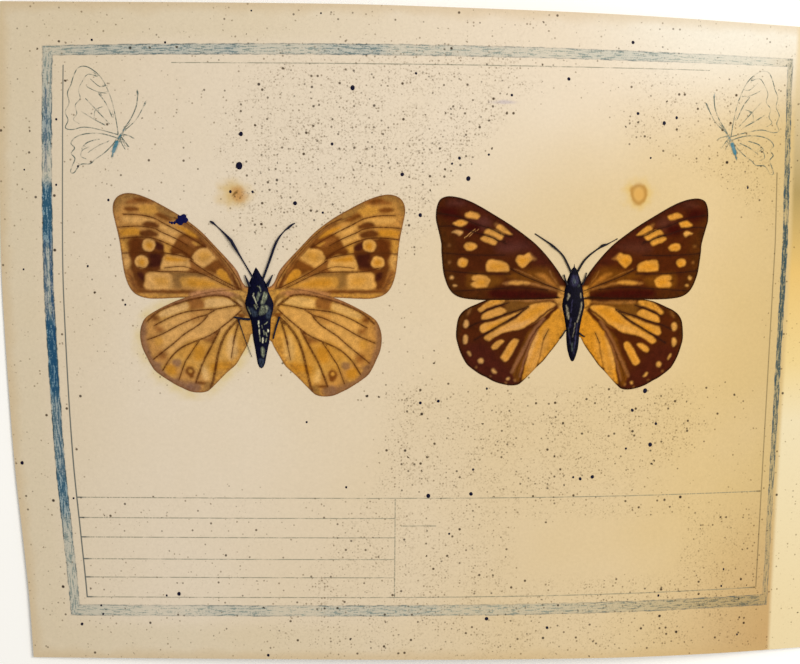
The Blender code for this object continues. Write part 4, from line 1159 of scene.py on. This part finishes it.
butterflies = {
    "underside": {
        "axis": -59.3,
        "forewing": undersideForewing,
        "hindwing": undersideHindwing,
        "onTop": "hindwing",
        # how the mirrored left wing is fitted to the right one
        "rightForewing": {"stretch": (1.035, 0.991), "lean": (-0.026, 0.007), "shift": (-0.4, 0.2)},
        "rightHindwing": {"stretch": (1.018, 1.045), "lean": (-0.033, -0.018), "shift": (0.1, 0.0)},
        "slot": "underside_wing",
        "blur": 1.15,
        "shrink": 0.0,  # mm
        "gain": (0.91, 0.86, 0.76),  # of the paints, which were mixed too bright
        "rightGain": (1.06, 1.0, 0.76),  # the right wings are yellower
        "paints": {"tan": "#ba894d", "gold": "#c99a52", "honey": "#c08e45", "ochre": "#bd8530",
            "pale": "#ce9f60", "cream": "#d4ab71", "fawn": "#96703f", "sienna": "#8a582cf0",
            "rust": "#6e3f18f4", "umber": "#582c10f0", "plum": "#3c1812f0", "smoke": "#836037e0",
            "rose": "#b3805a", "mauve": "#7c5c50c0", "line": "#4a2814c0"},
        "veinInk": "#4f260a",
        "rimInk": "#6d4526",
        "rimWidth": 0.3,
        "paleRim": 0.8,  # how much of the dark line is left where the margin is pale
        "mottle": 0.42,  # of the brown flecks along the margins
    },
    "upperside": {
        "axis": 27.3,
        "forewing": uppersideForewing,
        "hindwing": uppersideHindwing,
        "onTop": "forewing",
        "rightForewing": {"stretch": (0.970, 0.990), "lean": (0.019, -0.004), "shift": (-0.1, 0.3)},
        "rightHindwing": {"stretch": (0.987, 1.029), "lean": (0.006, 0.0), "shift": (-0.4, -1.1)},
        "slot": "upperside_wing",
        "blur": 1.35,
        "shrink": 0.1,
        "gain": (0.86, 0.79, 0.68),
        "rightGain": (1.04, 0.98, 0.66),
        "paints": {"cocoa": "#4a210b", "plum": "#461c12", "wine": "#3a0d08", "brown": "#4e2a0c",
            "chestnut": "#6e4312e0", "mauve": "#57302cc0", "ochre": "#cc8f30", "amber": "#cf984c",
            "buff": "#cf9f62", "tan": "#a06f40c0", "glow": "#b87c38b0", "dun": "#875a3c",
            "olive": "#785020d8"},
        "veinInk": "#2a120a",
        "rimInk": "#221006",
        "rimWidth": 0.4,
        "paleRim": 0.15,
        "mottle": 0.3,
    },
}


noise.seed_set(7)  # without it noise_vector differs from run to run


def moved(spots, distance, size):
    # points pushed about a little, so that what is painted by them gets an uneven edge
    shifts = [noise.noise_vector((x / size, y / size, 0.5)) for x, y in spots]
    return spots + distance * np.array(shifts)[:, :2]


def painted(spots, ground, washes, paints, gain, shrink=0.0):
    # the linear colour of each spot after all washes, whose patches are drawn a bit smaller
    inks = {name: np.array(colour(value)) for name, value in paints.items()}
    tones = np.tile(inks[ground][:3], (len(spots), 1))
    for name, softness, points, *halfWidth in washes:
        line = roundOff(points, closed=not halfWidth)
        reach = softness + sum(halfWidth)
        near = ((spots > line.min(0) - reach) & (spots < line.max(0) + reach)).all(1)
        if halfWidth:
            inside = halfWidth[0] - nearestOnLine(spots[near], line)[1]
        else:
            inside = insideDistance(spots[near], line) - shrink
        cover = smoothStep(-softness, softness, inside)[:, None] * inks[name][3]
        tones[near] += (inks[name][:3] - tones[near]) * cover
    return tones * gain


def fitted(points, butterfly, kind, side):
    # marks of the left wing, where they lie on the wing of that side
    points = np.array(points, float)
    if side == "left":
        return points
    fit = butterfly["right" + kind.capitalize()]
    out, up = butterfly["axis"] - points[:, 0], points[:, 1]
    x = butterfly["axis"] + fit["stretch"][0] * out + fit["lean"][0] * up + fit["shift"][0]
    y = fit["stretch"][1] * up + fit["lean"][1] * out + fit["shift"][1]
    return np.column_stack([x, y])


def wingScales(name, butterfly):
    # wing membrane under rows of tiny scales, flattened and dry: matte and powdery
    material, tree, shader = newMaterial(name, 0.85, 0.03)
    place = placeInMm(tree)
    tone = node(tree, "Attribute", (), "Color", attribute_name="pattern")
    fine = node(tree, "TexNoise", {"Vector": place, "Scale": 1 / 0.7, "Detail": 4, "Roughness": 0.65})

    # veins, and a soft shade along them
    line, past = strokeLine(tree, "vein", "veinPast", 1.6, 0.3)
    faded = node(tree, "MapRange", [fine, 0.3, 0.6, 0.6, 0.95])
    line = node(tree, "Math", [line, faded])
    shade = node(tree, "MapRange", [past, 0.7, 0, 0, 0.3], **smooth)
    shade = node(tree, "Math", [shade, line], operation="MAXIMUM")
    tone = node(tree, "Mix", {0: shade, 6: tone, 7: colour(butterfly["veinInk"])})

    # the margin's thin dark line
    rim = node(tree, "Attribute", (), "Fac", attribute_name="rim")
    wobble = node(tree, "MapRange", [fine, 0.25, 0.75, -0.2, 0.2])
    rim = node(tree, "Math", [rim, wobble], operation="SUBTRACT")
    width = butterfly["rimWidth"]
    margin = node(tree, "MapRange", [rim, width + 0.25, width - 0.2, 0, 0.75])
    pale = node(tree, "SeparateColor", [tone])
    kept = node(tree, "MapRange", [pale, 0.3, 0.55, 1, butterfly["paleRim"]])
    margin = node(tree, "Math", [margin, kept])
    tone = node(tree, "Mix", {0: margin, 6: tone, 7: colour(butterfly["rimInk"])})

    # brown flecks along the margin
    flecks = node(tree, "TexNoise", {"Vector": place, "Scale": 1 / 1.1, "Detail": 3, "Roughness": 0.6})
    flecks = node(tree, "MapRange", [flecks, 0.45, 0.62, 0, butterfly["mottle"]])
    outer = node(tree, "MapRange", [rim, 3.2, 0.6], **smooth)
    flecks = node(tree, "Math", [flecks, outer])
    tone = node(tree, "Mix", {0: flecks, 6: tone, 7: colour(butterfly["rimInk"])})

    # scales: a fine grain, drawn coarser than the real 0.1 mm so that it shows, and patches rubbed thin
    grain = node(tree, "TexNoise", {"Vector": place, "Scale": 1 / 0.28, "Detail": 2})
    speckle = node(tree, "MapRange", [grain, 0.3, 0.7, 0.84, 1.16])
    tone = node(tree, "Mix", {0: 1.0, 6: tone, 7: speckle}, **multiplied)
    patch = node(tree, "TexNoise", {"Vector": place, "Scale": 1 / 1.8, "Detail": 4, "Roughness": 0.6})
    rubbed = node(tree, "MapRange", [patch, 0.3, 0.7, 0.8, 1.18])
    tone = node(tree, "Mix", {0: 1.0, 6: tone, 7: rubbed}, **multiplied)
    finish(tree, shader, tone, node(tree, "Math", [grain, line], operation="ADD"), 0.4, 0.03)
    return material


def tucked(outline, bodyOutline, axis):
    # the part of a wing's edge that was cut along the body, moved in under it
    near = insideDistance(outline, bodyOutline) > -wing["gap"]
    under = outline.copy()
    under[near, 0] += np.sign(axis - outline[near, 0]) * wing["tuck"]
    return under


def makeWing(label, side, kind, outlines, material):
    butterfly = butterflies[label]
    design = butterfly[kind]
    outline = outlines[kind]
    sheet = trimmedGrid(outline, wing["cell"])
    spots = flatPlaces(sheet)
    height = np.full(len(spots), wing["lift"])
    if kind == butterfly["onTop"]:  # it rises over the other wing
        other = "forewing" if kind == "hindwing" else "hindwing"
        height += wing["lift"] * smoothStep(-wing["rise"], 0.0, insideDistance(spots, outlines[other]))
    layOnLeaf(sheet, height)
    name = f"{label}_{side}_{kind}_scales"
    mesh = meshFrom(sheet, name)
    washes = [(paint, softness * butterfly["blur"], fitted(points, butterfly, kind, side), *halfWidth)
              for paint, softness, points, *halfWidth in design["washes"]]
    if side == "left":
        washes += design.get("scratches", [])
    uneven = moved(moved(spots, wing["waver"], 1.6), wing["waver"] / 2, 0.7)  # mm, of the waves' sizes
    gain = np.array(butterfly["gain"])
    if side == "right":
        gain *= butterfly["rightGain"]
    tones = painted(uneven, design["ground"], washes, butterfly["paints"], gain, butterfly["shrink"])
    setAttribute(mesh, "pattern", tones)
    veins = [(width, fitted(points, butterfly, kind, side)) for width, points in design["veins"]]
    vein, past = strokeDistances(spots, veins)
    setAttribute(mesh, "vein", vein)
    setAttribute(mesh, "veinPast", past)
    setAttribute(mesh, "rim", insideDistance(spots, outline))
    piece = addPiece(name, mesh, [material], [f"{label}_{side}_{kind}"])
    thicken(piece, wing["thickness"])


body = {
    "cell": 0.16,
    "cadGap": 0.3,  # a CAD body floats this far over the paper, and the dried one lies on it
    "ringSpacing": 1.7,  # of the abdomen's segments
    "ringDepth": 0.07,
    "skirt": 0.02,  # how far its closed underside lies under its face's rim
    "waver": 0.15,
    "gain": 0.85,  # of the paints, which were mixed too bright
}

bodyLooks = {
    "underside": {
        "waist": 7.0,  # the abdomen starts below this
        "washes": [
            ("steel", .4, [(-61.9, 9.4), (-60.8, 9), (-59.8, 7.6), (-60.8, 7.1), (-61.9, 8.1)]),
            ("steel", .4, [(-59.6, -4.8), (-58.3, -5), (-58.5, -6.9), (-59.1, -6.9)]),
            ("steel", .4, [(-56.6, 6.4), (-56.2, 8.6), (-56.8, 9.6), (-57.6, 7)]),
            # head and thorax
            ("steel", .2, [(-59.3, 15.6), (-58.9, 14.6)], .12),
            ("hair", .14, [(-59.9, 15.4), (-59.4, 15.2), (-59, 14)], .08),
            ("olive", .2, [(-59.6, 13.9), (-59.2, 13.4), (-59.5, 12), (-60.1, 11.2), (-60.1, 12.8)]),
            ("bright", .14, [(-61.1, 12.9), (-60.5, 11.6), (-59.8, 9.8)], .08),
            ("bright", .12, [(-60.9, 13.4), (-60.95, 13)], .1),
            ("hair", .16, [(-60.7, 10.3), (-60.2, 9.2)], .13),
            ("olive", .25, [(-58.6, 13.6), (-57.6, 13.8), (-57.2, 12.7), (-57.8, 11.1), (-58.7, 10.4),
                (-59, 11), (-58.7, 12.2)]),
            ("hair", .18, [(-58, 13.4), (-58.6, 10.9)], .12),
            ("hair", .14, [(-57.5, 13), (-57.9, 11.6)], .08),
            ("ink", .15, [(-59.8, 10), (-59, 11.8), (-58.4, 13.6)], .2),
            ("olive", .25, [(-58.9, 10), (-57.6, 10.2), (-56.9, 9.4), (-57.5, 8.1), (-58.6, 7.5),
                (-59.5, 7.8)]),
            ("hair", .16, [(-58.4, 9.8), (-58, 8.3)], .1),
            ("hair", .16, [(-57.5, 9.9), (-57.3, 8.9)], .08),
            ("ink", .15, [(-58.1, 10.4), (-57.8, 8.9), (-58.3, 7.7)], .1),
            ("ink", .15, [(-59.5, 9.9), (-57.9, 9.1), (-56.8, 8.8)], .06),
            ("hair", .16, [(-62.6, 9.6), (-61.8, 7.8)], .08),
            # abdomen
            ("bright", .14, [(-59.65, 5.8), (-59.6, 5.1)], .15),
            ("bright", .12, [(-59.6, 4.8), (-59.55, 4.3)], .12),
            ("bright", .14, [(-59.5, 3.5), (-59.4, 2.1)], .11),
            ("hair", .14, [(-59.35, 1.7), (-59.2, .2)], .1),
            ("hair", .14, [(-57.3, 5.5), (-58, 4.9)], .09),
            ("hair", .14, [(-58.7, 4.6), (-58.6, 3.8)], .07),
            ("hair", .14, [(-58.3, 3.2), (-58.1, 2)], .09),
            ("bright", .14, [(-58.55, 1.1), (-58.5, -.1)], .12),
            ("bright", .16, [(-57.1, 3.3), (-57, 2.9)], .18),
            ("hair", .14, [(-57.6, 2.7), (-57.3, 1.6)], .1),
            ("hair", .14, [(-57.5, .9), (-57.8, 0)], .12),
            ("olive", .2, [(-58.9, -1.4), (-58.2, -1.7), (-58, -3.4), (-58.5, -4.4), (-59, -3.2)]),
            ("hair", .16, [(-58.6, -1.9), (-58.5, -3.6)], .1),
        ],
        "paints": {"ink": "#060620", "steel": "#36404eb0", "olive": "#6f7460d0", "hair": "#a5a784d0",
            "bright": "#dcd8b4"},
    },
    "upperside": {
        "waist": 8.0,
        "washes": [
            ("steel", .5, [(26.6, 18.4), (28, 18.4), (28.4, 17), (28, 16), (26.6, 16)]),
            ("moss", .4, [(27, 17.8), (27.6, 17.6), (27.7, 16.6), (27, 16.4)]),
            ("moss", .3, disc(28.6, 15.8, .3)),
            ("hair", .2, [(25.5, 13.6), (26.1, 13.2), (25.8, 12.2), (25.4, 11.8)]),
            ("hair", .2, [(29, 13.8), (29.35, 13.6), (29.4, 12.5), (29.1, 12.7)]),
            ("hair", .2, [(25.1, 10.4), (25.4, 10.2), (25.9, 8.4), (26, 6.6), (25.6, 6.8), (25.3, 8.4)]),
            ("hair", .2, [(29.3, 11.3), (29.65, 10.6), (29.2, 8), (28.5, 5.8), (28.3, 6), (28.9, 8.4)]),
            ("steel", .2, [(26.8, 12), (26.5, 8.4)], .1),
            ("steel", .2, [(26.6, 6.6), (26.3, 4)], .16),
            ("steel", .2, [(28.4, 5.2), (28, 1), (27.6, -3)], .14),
            ("steel", .2, [(26.2, 2.6), (26.6, -.4)], .1),
            ("steel", .2, [(26.4, 6.8), (26.5, 4.5)], .14),
            ("hair", .16, [(27.8, 5.6), (27.6, 3.7), (27.2, 1.6)], .05),
            ("moss", .2, [(26, 4), (26.1, 3)], .1),
            ("moss", .25, [(27.1, -.3), (27.2, -2.4)], .18),
        ],
        "paints": {"ink": "#0a0716", "steel": "#3c3856b0", "moss": "#4c5450c0", "hair": "#988e74c0"},
    },
}

limbs = {
    "step": 0.15,  # mm, between the rings of points along a limb
    "ringSpacing": 0.5,  # of an antenna's segments
    "ringDepth": 0.08,  # over its radius
    "legHeight": 0.22,  # over the paper, because legs cross the wings
    # (from the body's axis, up the page, half width), from the body outwards
    "underside": {
        "left_antenna": [(-1.4, 17, .24), (-5.1, 23.3, .22), (-7.2, 26.9, .44), (-7.8, 27.9, .42),
            (-9.8, 30, .24), (-12, 32.1, .2), (-12.8, 32.7, .34), (-13.3, 33, .14)],
        "right_antenna": [(.8, 17, .32), (3, 23, .33), (4.2, 26.4, .34), (5.4, 28.7, .26),
            (6.9, 30.5, .17), (7.9, 31.3, .3), (8.8, 32.1, .27), (9.7, 32.6, .14)],
        "left_foreleg": [(-2.6, 15.2, .42), (-3.4, 16.9, .3), (-4, 18.4, .1)],
        "right_foreleg": [(2, 15.4, .5), (2.8, 16.9, .32), (3.6, 18.5, .1)],
        "left_midleg": [(-2.6, 6.2, .34), (-4.8, 6.4, .32), (-7, 6.8, .22)],
        "right_midleg": [(3.6, .8, .2), (4.4, 4, .26), (5.4, 7, .28)],
        "left_hindleg": [(-5.9, 6.2, .16), (-4.7, 2.5, .1), (-3.5, -.9, .08), (-2.2, -4.3, .06)],
    },
    "upperside": {
        "left_antenna": [(-.8, 19.4, .28), (-2.7, 23.2, .27), (-4.1, 25, .24), (-6.6, 27.1, .3),
            (-7, 27.4, .26), (-9, 28.7, .19), (-11.2, 30.1, .14)],
        "right_antenna": [(.8, 19.4, .28), (2.5, 22.4, .29), (4.3, 24.3, .25), (7, 26.3, .26),
            (7.9, 26.9, .4), (8.5, 27.1, .34), (9.4, 27.4, .2), (12, 28.8, .14)],
        "left_foreleg": [(-1.9, 16, .3), (-2.5, 17.5, .22), (-2.9, 18.9, .18)],
        "right_foreleg": [(2.3, 16, .26), (3, 17.7, .2), (3.5, 19.4, .14)],
        "left_hindleg": [(-2, 3.5, .16), (-2.8, 2.1, .16), (-3.6, 1.1, .2)],
        "right_hindleg": [(1.8, 2.6, .24), (2.6, 2, .2), (3.4, 1.5, .12)],
    },
}


def inkedBody(name):
    # a dried body gone over in blue-black ink: nearly black, satin, with the pale hairs left in gaps
    material, tree, shader = newMaterial(name, 0.55, 0.05)
    place = placeInMm(tree)
    tone = node(tree, "Attribute", (), "Color", attribute_name="pattern")
    stretched = node(tree, "VectorMath", [place, (3.6, 1.2, 1)])
    hair = node(tree, "TexNoise", {"Vector": stretched, "Scale": 1, "Detail": 4, "Roughness": 0.7})
    patchy = node(tree, "MapRange", [hair, 0.36, 0.6, 0.25, 1.6])
    tone = node(tree, "Mix", {0: 1.0, 6: tone, 7: patchy}, **multiplied)
    finish(tree, shader, tone, hair, 0.5, 0.12)
    return material


def clouded(name, deep, pale, size, detail, most):
    # dark, hard and a little glossy, and paler in clouds of so many mm
    material, tree, shader = newMaterial(name, 0.5, 0.1)
    cloud = node(tree, "TexNoise", {"Vector": placeInMm(tree), "Scale": 1 / size, "Detail": detail})
    cloud = node(tree, "MapRange", [cloud, 0.5, 0.75, 0, most])
    finish(tree, shader, node(tree, "Mix", {0: cloud, 6: colour(deep), 7: colour(pale)}))
    return material


def makeBody(label, outline, dome):
    # the CAD body's dome let down on to the paper, the abdomen's segments as narrow grooves, closed below
    look = bodyLooks[label]
    sheet = trimmedGrid(outline, body["cell"])
    spots = flatPlaces(sheet)
    layOnLeaf(sheet, 0.0)
    surface = BVHTree.FromBMesh(dome)
    rings = 0.5 - 0.5 * np.cos(2 * math.pi * (spots[:, 1] - look["waist"]) / body["ringSpacing"])
    rings = rings**6 * smoothStep(look["waist"], look["waist"] - 1.0, spots[:, 1])
    inward = smoothStep(0.0, 0.5, insideDistance(spots, outline))
    for vert, ring, rise in zip(sheet.verts, rings, inward):
        hit = surface.ray_cast(vert.co + Vector((0.0, 0.0, 0.1)), Vector((0.0, 0.0, -1.0)))[0]
        if hit and not vert.is_boundary:
            vert.co.z = max(hit.z - body["cadGap"] * mm, vert.co.z) - ring * rise * body["ringDepth"] * mm
    rim = [edge for edge in sheet.edges if edge.is_boundary]
    skirt = bmesh.ops.extrude_edge_only(sheet, edges=rim)["geom"]
    lowest = [item for item in skirt if isinstance(item, bmesh.types.BMVert)]
    bmesh.ops.translate(sheet, verts=lowest, vec=(0.0, 0.0, -body["skirt"] * mm))
    bmesh.ops.holes_fill(sheet, edges=[item for item in skirt if isinstance(item, bmesh.types.BMEdge)])
    bmesh.ops.recalc_face_normals(sheet, faces=sheet.faces)
    spots = np.array([vert.co.xy for vert in sheet.verts]) / mm - pageMiddle
    mesh = meshFrom(sheet, f"{label}_body_dried")
    uneven = moved(spots, body["waver"], 0.7)
    setAttribute(mesh, "pattern", painted(uneven, "ink", look["washes"], look["paints"], body["gain"]))
    mesh.shade_smooth()
    material = inkedBody(f"inkedDriedBody_{label}")
    addPiece(f"{label}_body_dried", mesh, [material], [f"{label}_body"])


def makeLimb(label, part, material):
    # a tube on a smooth path, as thick as the limb is at each of its points
    points = np.array(limbs[label][part], float)
    path = roundOff(points[:, :2], closed=False, steps=16)
    lengths = np.append(0.0, np.cumsum(np.hypot(*np.diff(path, axis=0).T)))
    stations = np.linspace(0.0, lengths[-1], round(lengths[-1] / limbs["step"]))
    path = np.column_stack([np.interp(stations, lengths, path[:, k]) for k in (0, 1)])
    radius = smoothThrough(lengths[::16], points[:, 2])(stations)
    height = radius.copy()
    if part.endswith("antenna"):
        grooves = np.cos(math.tau * stations / limbs["ringSpacing"]) > 0.6
        radius *= 1.0 - limbs["ringDepth"] * grooves
    else:
        height += limbs["legHeight"]
    places = onLeaf(path + np.array([butterflies[label]["axis"], 0.0]), height)
    curve = bpy.data.curves.new(part, "CURVE")
    curve.dimensions = "3D"
    curve.bevel_depth = mm
    curve.bevel_resolution = 2
    curve.use_fill_caps = True
    spline = curve.splines.new("POLY")
    spline.points.add(len(places) - 1)
    for point, place, width in zip(spline.points, places, radius):
        point.co = (*place, 1.0)
        point.radius = width
    guide = bpy.data.objects.new(part, curve)
    bpy.context.scene.collection.objects.link(guide)
    mesh = bpy.data.meshes.new_from_object(guide.evaluated_get(bpy.context.evaluated_depsgraph_get()))
    bpy.data.objects.remove(guide)
    mesh.shade_smooth()
    name = f"{label}_{part}"
    addPiece(name + "_dried", mesh, [material], [name])


ink = {
    "rise": 0.07,  # a dried drop's height over its radius
    "oval": 0.08,  # how much longer one is at most
    # (x, y, radius) of the drops that are big enough to see one by one
    "drops": [
        (-61, 89, .28), (-42.5, 88.5, .28), (-103.5, 81, .36), (-84, 80.5, .34), (-34, 69, .7),
        (-64, 56.5, .64), (-64.5, 48, 1.06), (-67, 41, .45), (-61, 41, .39), (-49.5, 38, .62),
        (-39.5, 54, .45), (-42, 35.5, .36), (-100, 38.5, .39), (-113.5, 60, .36), (-108, 47.5, .34),
        (-114, 42.5, .34), (-106, 20.5, .34), (-123.5, 19.5, .31), (-122.5, 46.5, .28), (-96, 10, .34),
        (42, 82, .48), (-17, 73, .36), (24.5, 72, .48), (9, 67.5, .39), (44, 63, .45), (55, 62, .45),
        (51.5, 60.5, .56), (-20.5, 46, .56), (-2.5, 45, .67), (-15.5, 35, .56), (-5, 50.5, .45),
        (-7, 49, .34), (76.5, 43, .36), (3, 51.5, .34), (48, 51, .31), (48.5, -14, .73),
        (45, -19.5, .5), (50.5, -29.5, .67), (52, -23.5, .45), (-10, -16.5, .45), (-15, -17, .45),
        (34, -38.5, .56), (30.5, -39, .48), (28.5, -38.5, .34), (43.5, -30.5, .36), (0, -36, .36),
        (-12.5, -43.5, .64), (-.5, -43, .56), (-6.5, -54.5, .34), (4.5, -79.5, .56), (22, -82.5, .45),
        (3.5, -13, .34), (54.5, -74, .39), (73.5, -72, .36), (74, -67, .34), (79, -87, .36),
        (-125.5, -34.5, .56), (-82.5, -72, .62), (-110, -81, .48), (-57.5, -90, .45),
        (-46.5, -22.5, .34), (-35.5, -41, .36), (-111.5, -44.5, .34), (-104, -78, .34),
        (-104.5, -75.5, .34), (-86, -72.5, .34),
    ],
    # a blot on a wing, as drops that have run together
    "blot": [(-80.2, 33.4, 1.2), (-79.8, 34.1, .8), (-80.6, 32.8, 1.05), (-79.3, 33.2, .8),
        (-81.5, 32.9, .6), (-82.2, 32.5, .45), (-82.9, 32.45, .42), (-83.5, 32.6, .3), (-81, 34.1, .45)],
}


def makeInk(name, drops, material, height):
    # each drop is a low dome, a little oval and turned by chance
    chance = np.random.default_rng(7)
    pool = bmesh.new()
    for x, y, radius in drops:
        made = bmesh.ops.create_icosphere(pool, subdivisions=2, radius=1.0)["verts"]
        long = 1.0 + ink["oval"] * chance.random()
        shape = Matrix.Diagonal((radius * long * mm, radius / long * mm, radius * ink["rise"] * mm, 1.0))
        turn = Matrix.Rotation(chance.random() * math.pi, 4, "Z")
        place = Vector(onLeaf(np.array([[x, y]]), height)[0])
        bmesh.ops.transform(pool, verts=made, matrix=Matrix.Translation(place) @ turn @ shape)
    mesh = meshFrom(pool, name)
    mesh.shade_smooth()
    addPiece(name, mesh, [material])


def makeFloor():
    plate = bmesh.new()
    bmesh.ops.create_grid(plate, x_segments=4, y_segments=4, size=2.0)
    floor = bpy.data.objects.new("floor", meshFrom(plate, "floor"))
    material, tree, shader = newMaterial("matteStudioWhite", 0.95, 0.1)
    place = placeInMm(tree)
    faint = node(tree, "TexNoise", {"Vector": place, "Scale": 1 / 150, "Detail": 2})
    finish(tree, shader, node(tree, "Mix", {0: faint, 6: colour("#f6f5f1"), 7: colour("#f9f8f4")}))
    floor.data.materials.append(material)
    bpy.context.scene.collection.objects.link(floor)


makeFloor()
# antennae and legs: thin shells of chitin, blue-black
chitin = {"underside": clouded("inkedChitin", "#0e1026", "#3d3a40", 0.5, 3, 0.35),
          "upperside": clouded("driedChitin", "#17141a", "#3d3a40", 0.5, 3, 0.35)}
bloomOutline = None
for label, butterfly in butterflies.items():
    dome = cadSheet(label + "_body", -0.5)
    bodyOutline = outlineOf(dome)
    scales = wingScales("wingScales_" + label, butterfly)
    for side in ("left", "right"):
        outlines = {}
        for kind in ("forewing", "hindwing"):
            cut = cadSheet(f"{label}_{side}_{kind}", 0.5)
            outlines[kind] = tucked(outlineOf(cut), bodyOutline, butterfly["axis"])
            cut.free()
        for kind in ("forewing", "hindwing"):
            makeWing(label, side, kind, outlines, scales)
        if bloomOutline is None:
            bloomOutline = outlines["hindwing"]
    makeBody(label, bodyOutline, dome)
    dome.free()
    for part in limbs[label]:
        makeLimb(label, part, chitin[label])
    print(label, "butterfly made")

makeLeaf(bloomOutline)
# writing ink dried in drops, paler where it lies thin
blackInk = clouded("driedBlackInk", "#090722", "#1c1428", 0.8, 2, 0.5)
blueInk = clouded("driedBlueInk", "#04043a", "#0a0a48", 0.8, 2, 0.5)
makeInk("ink_drops", ink["drops"], blackInk, 0.0)
makeInk("ink_blot", ink["blot"], blueInk, wing["lift"])
print("ink made")
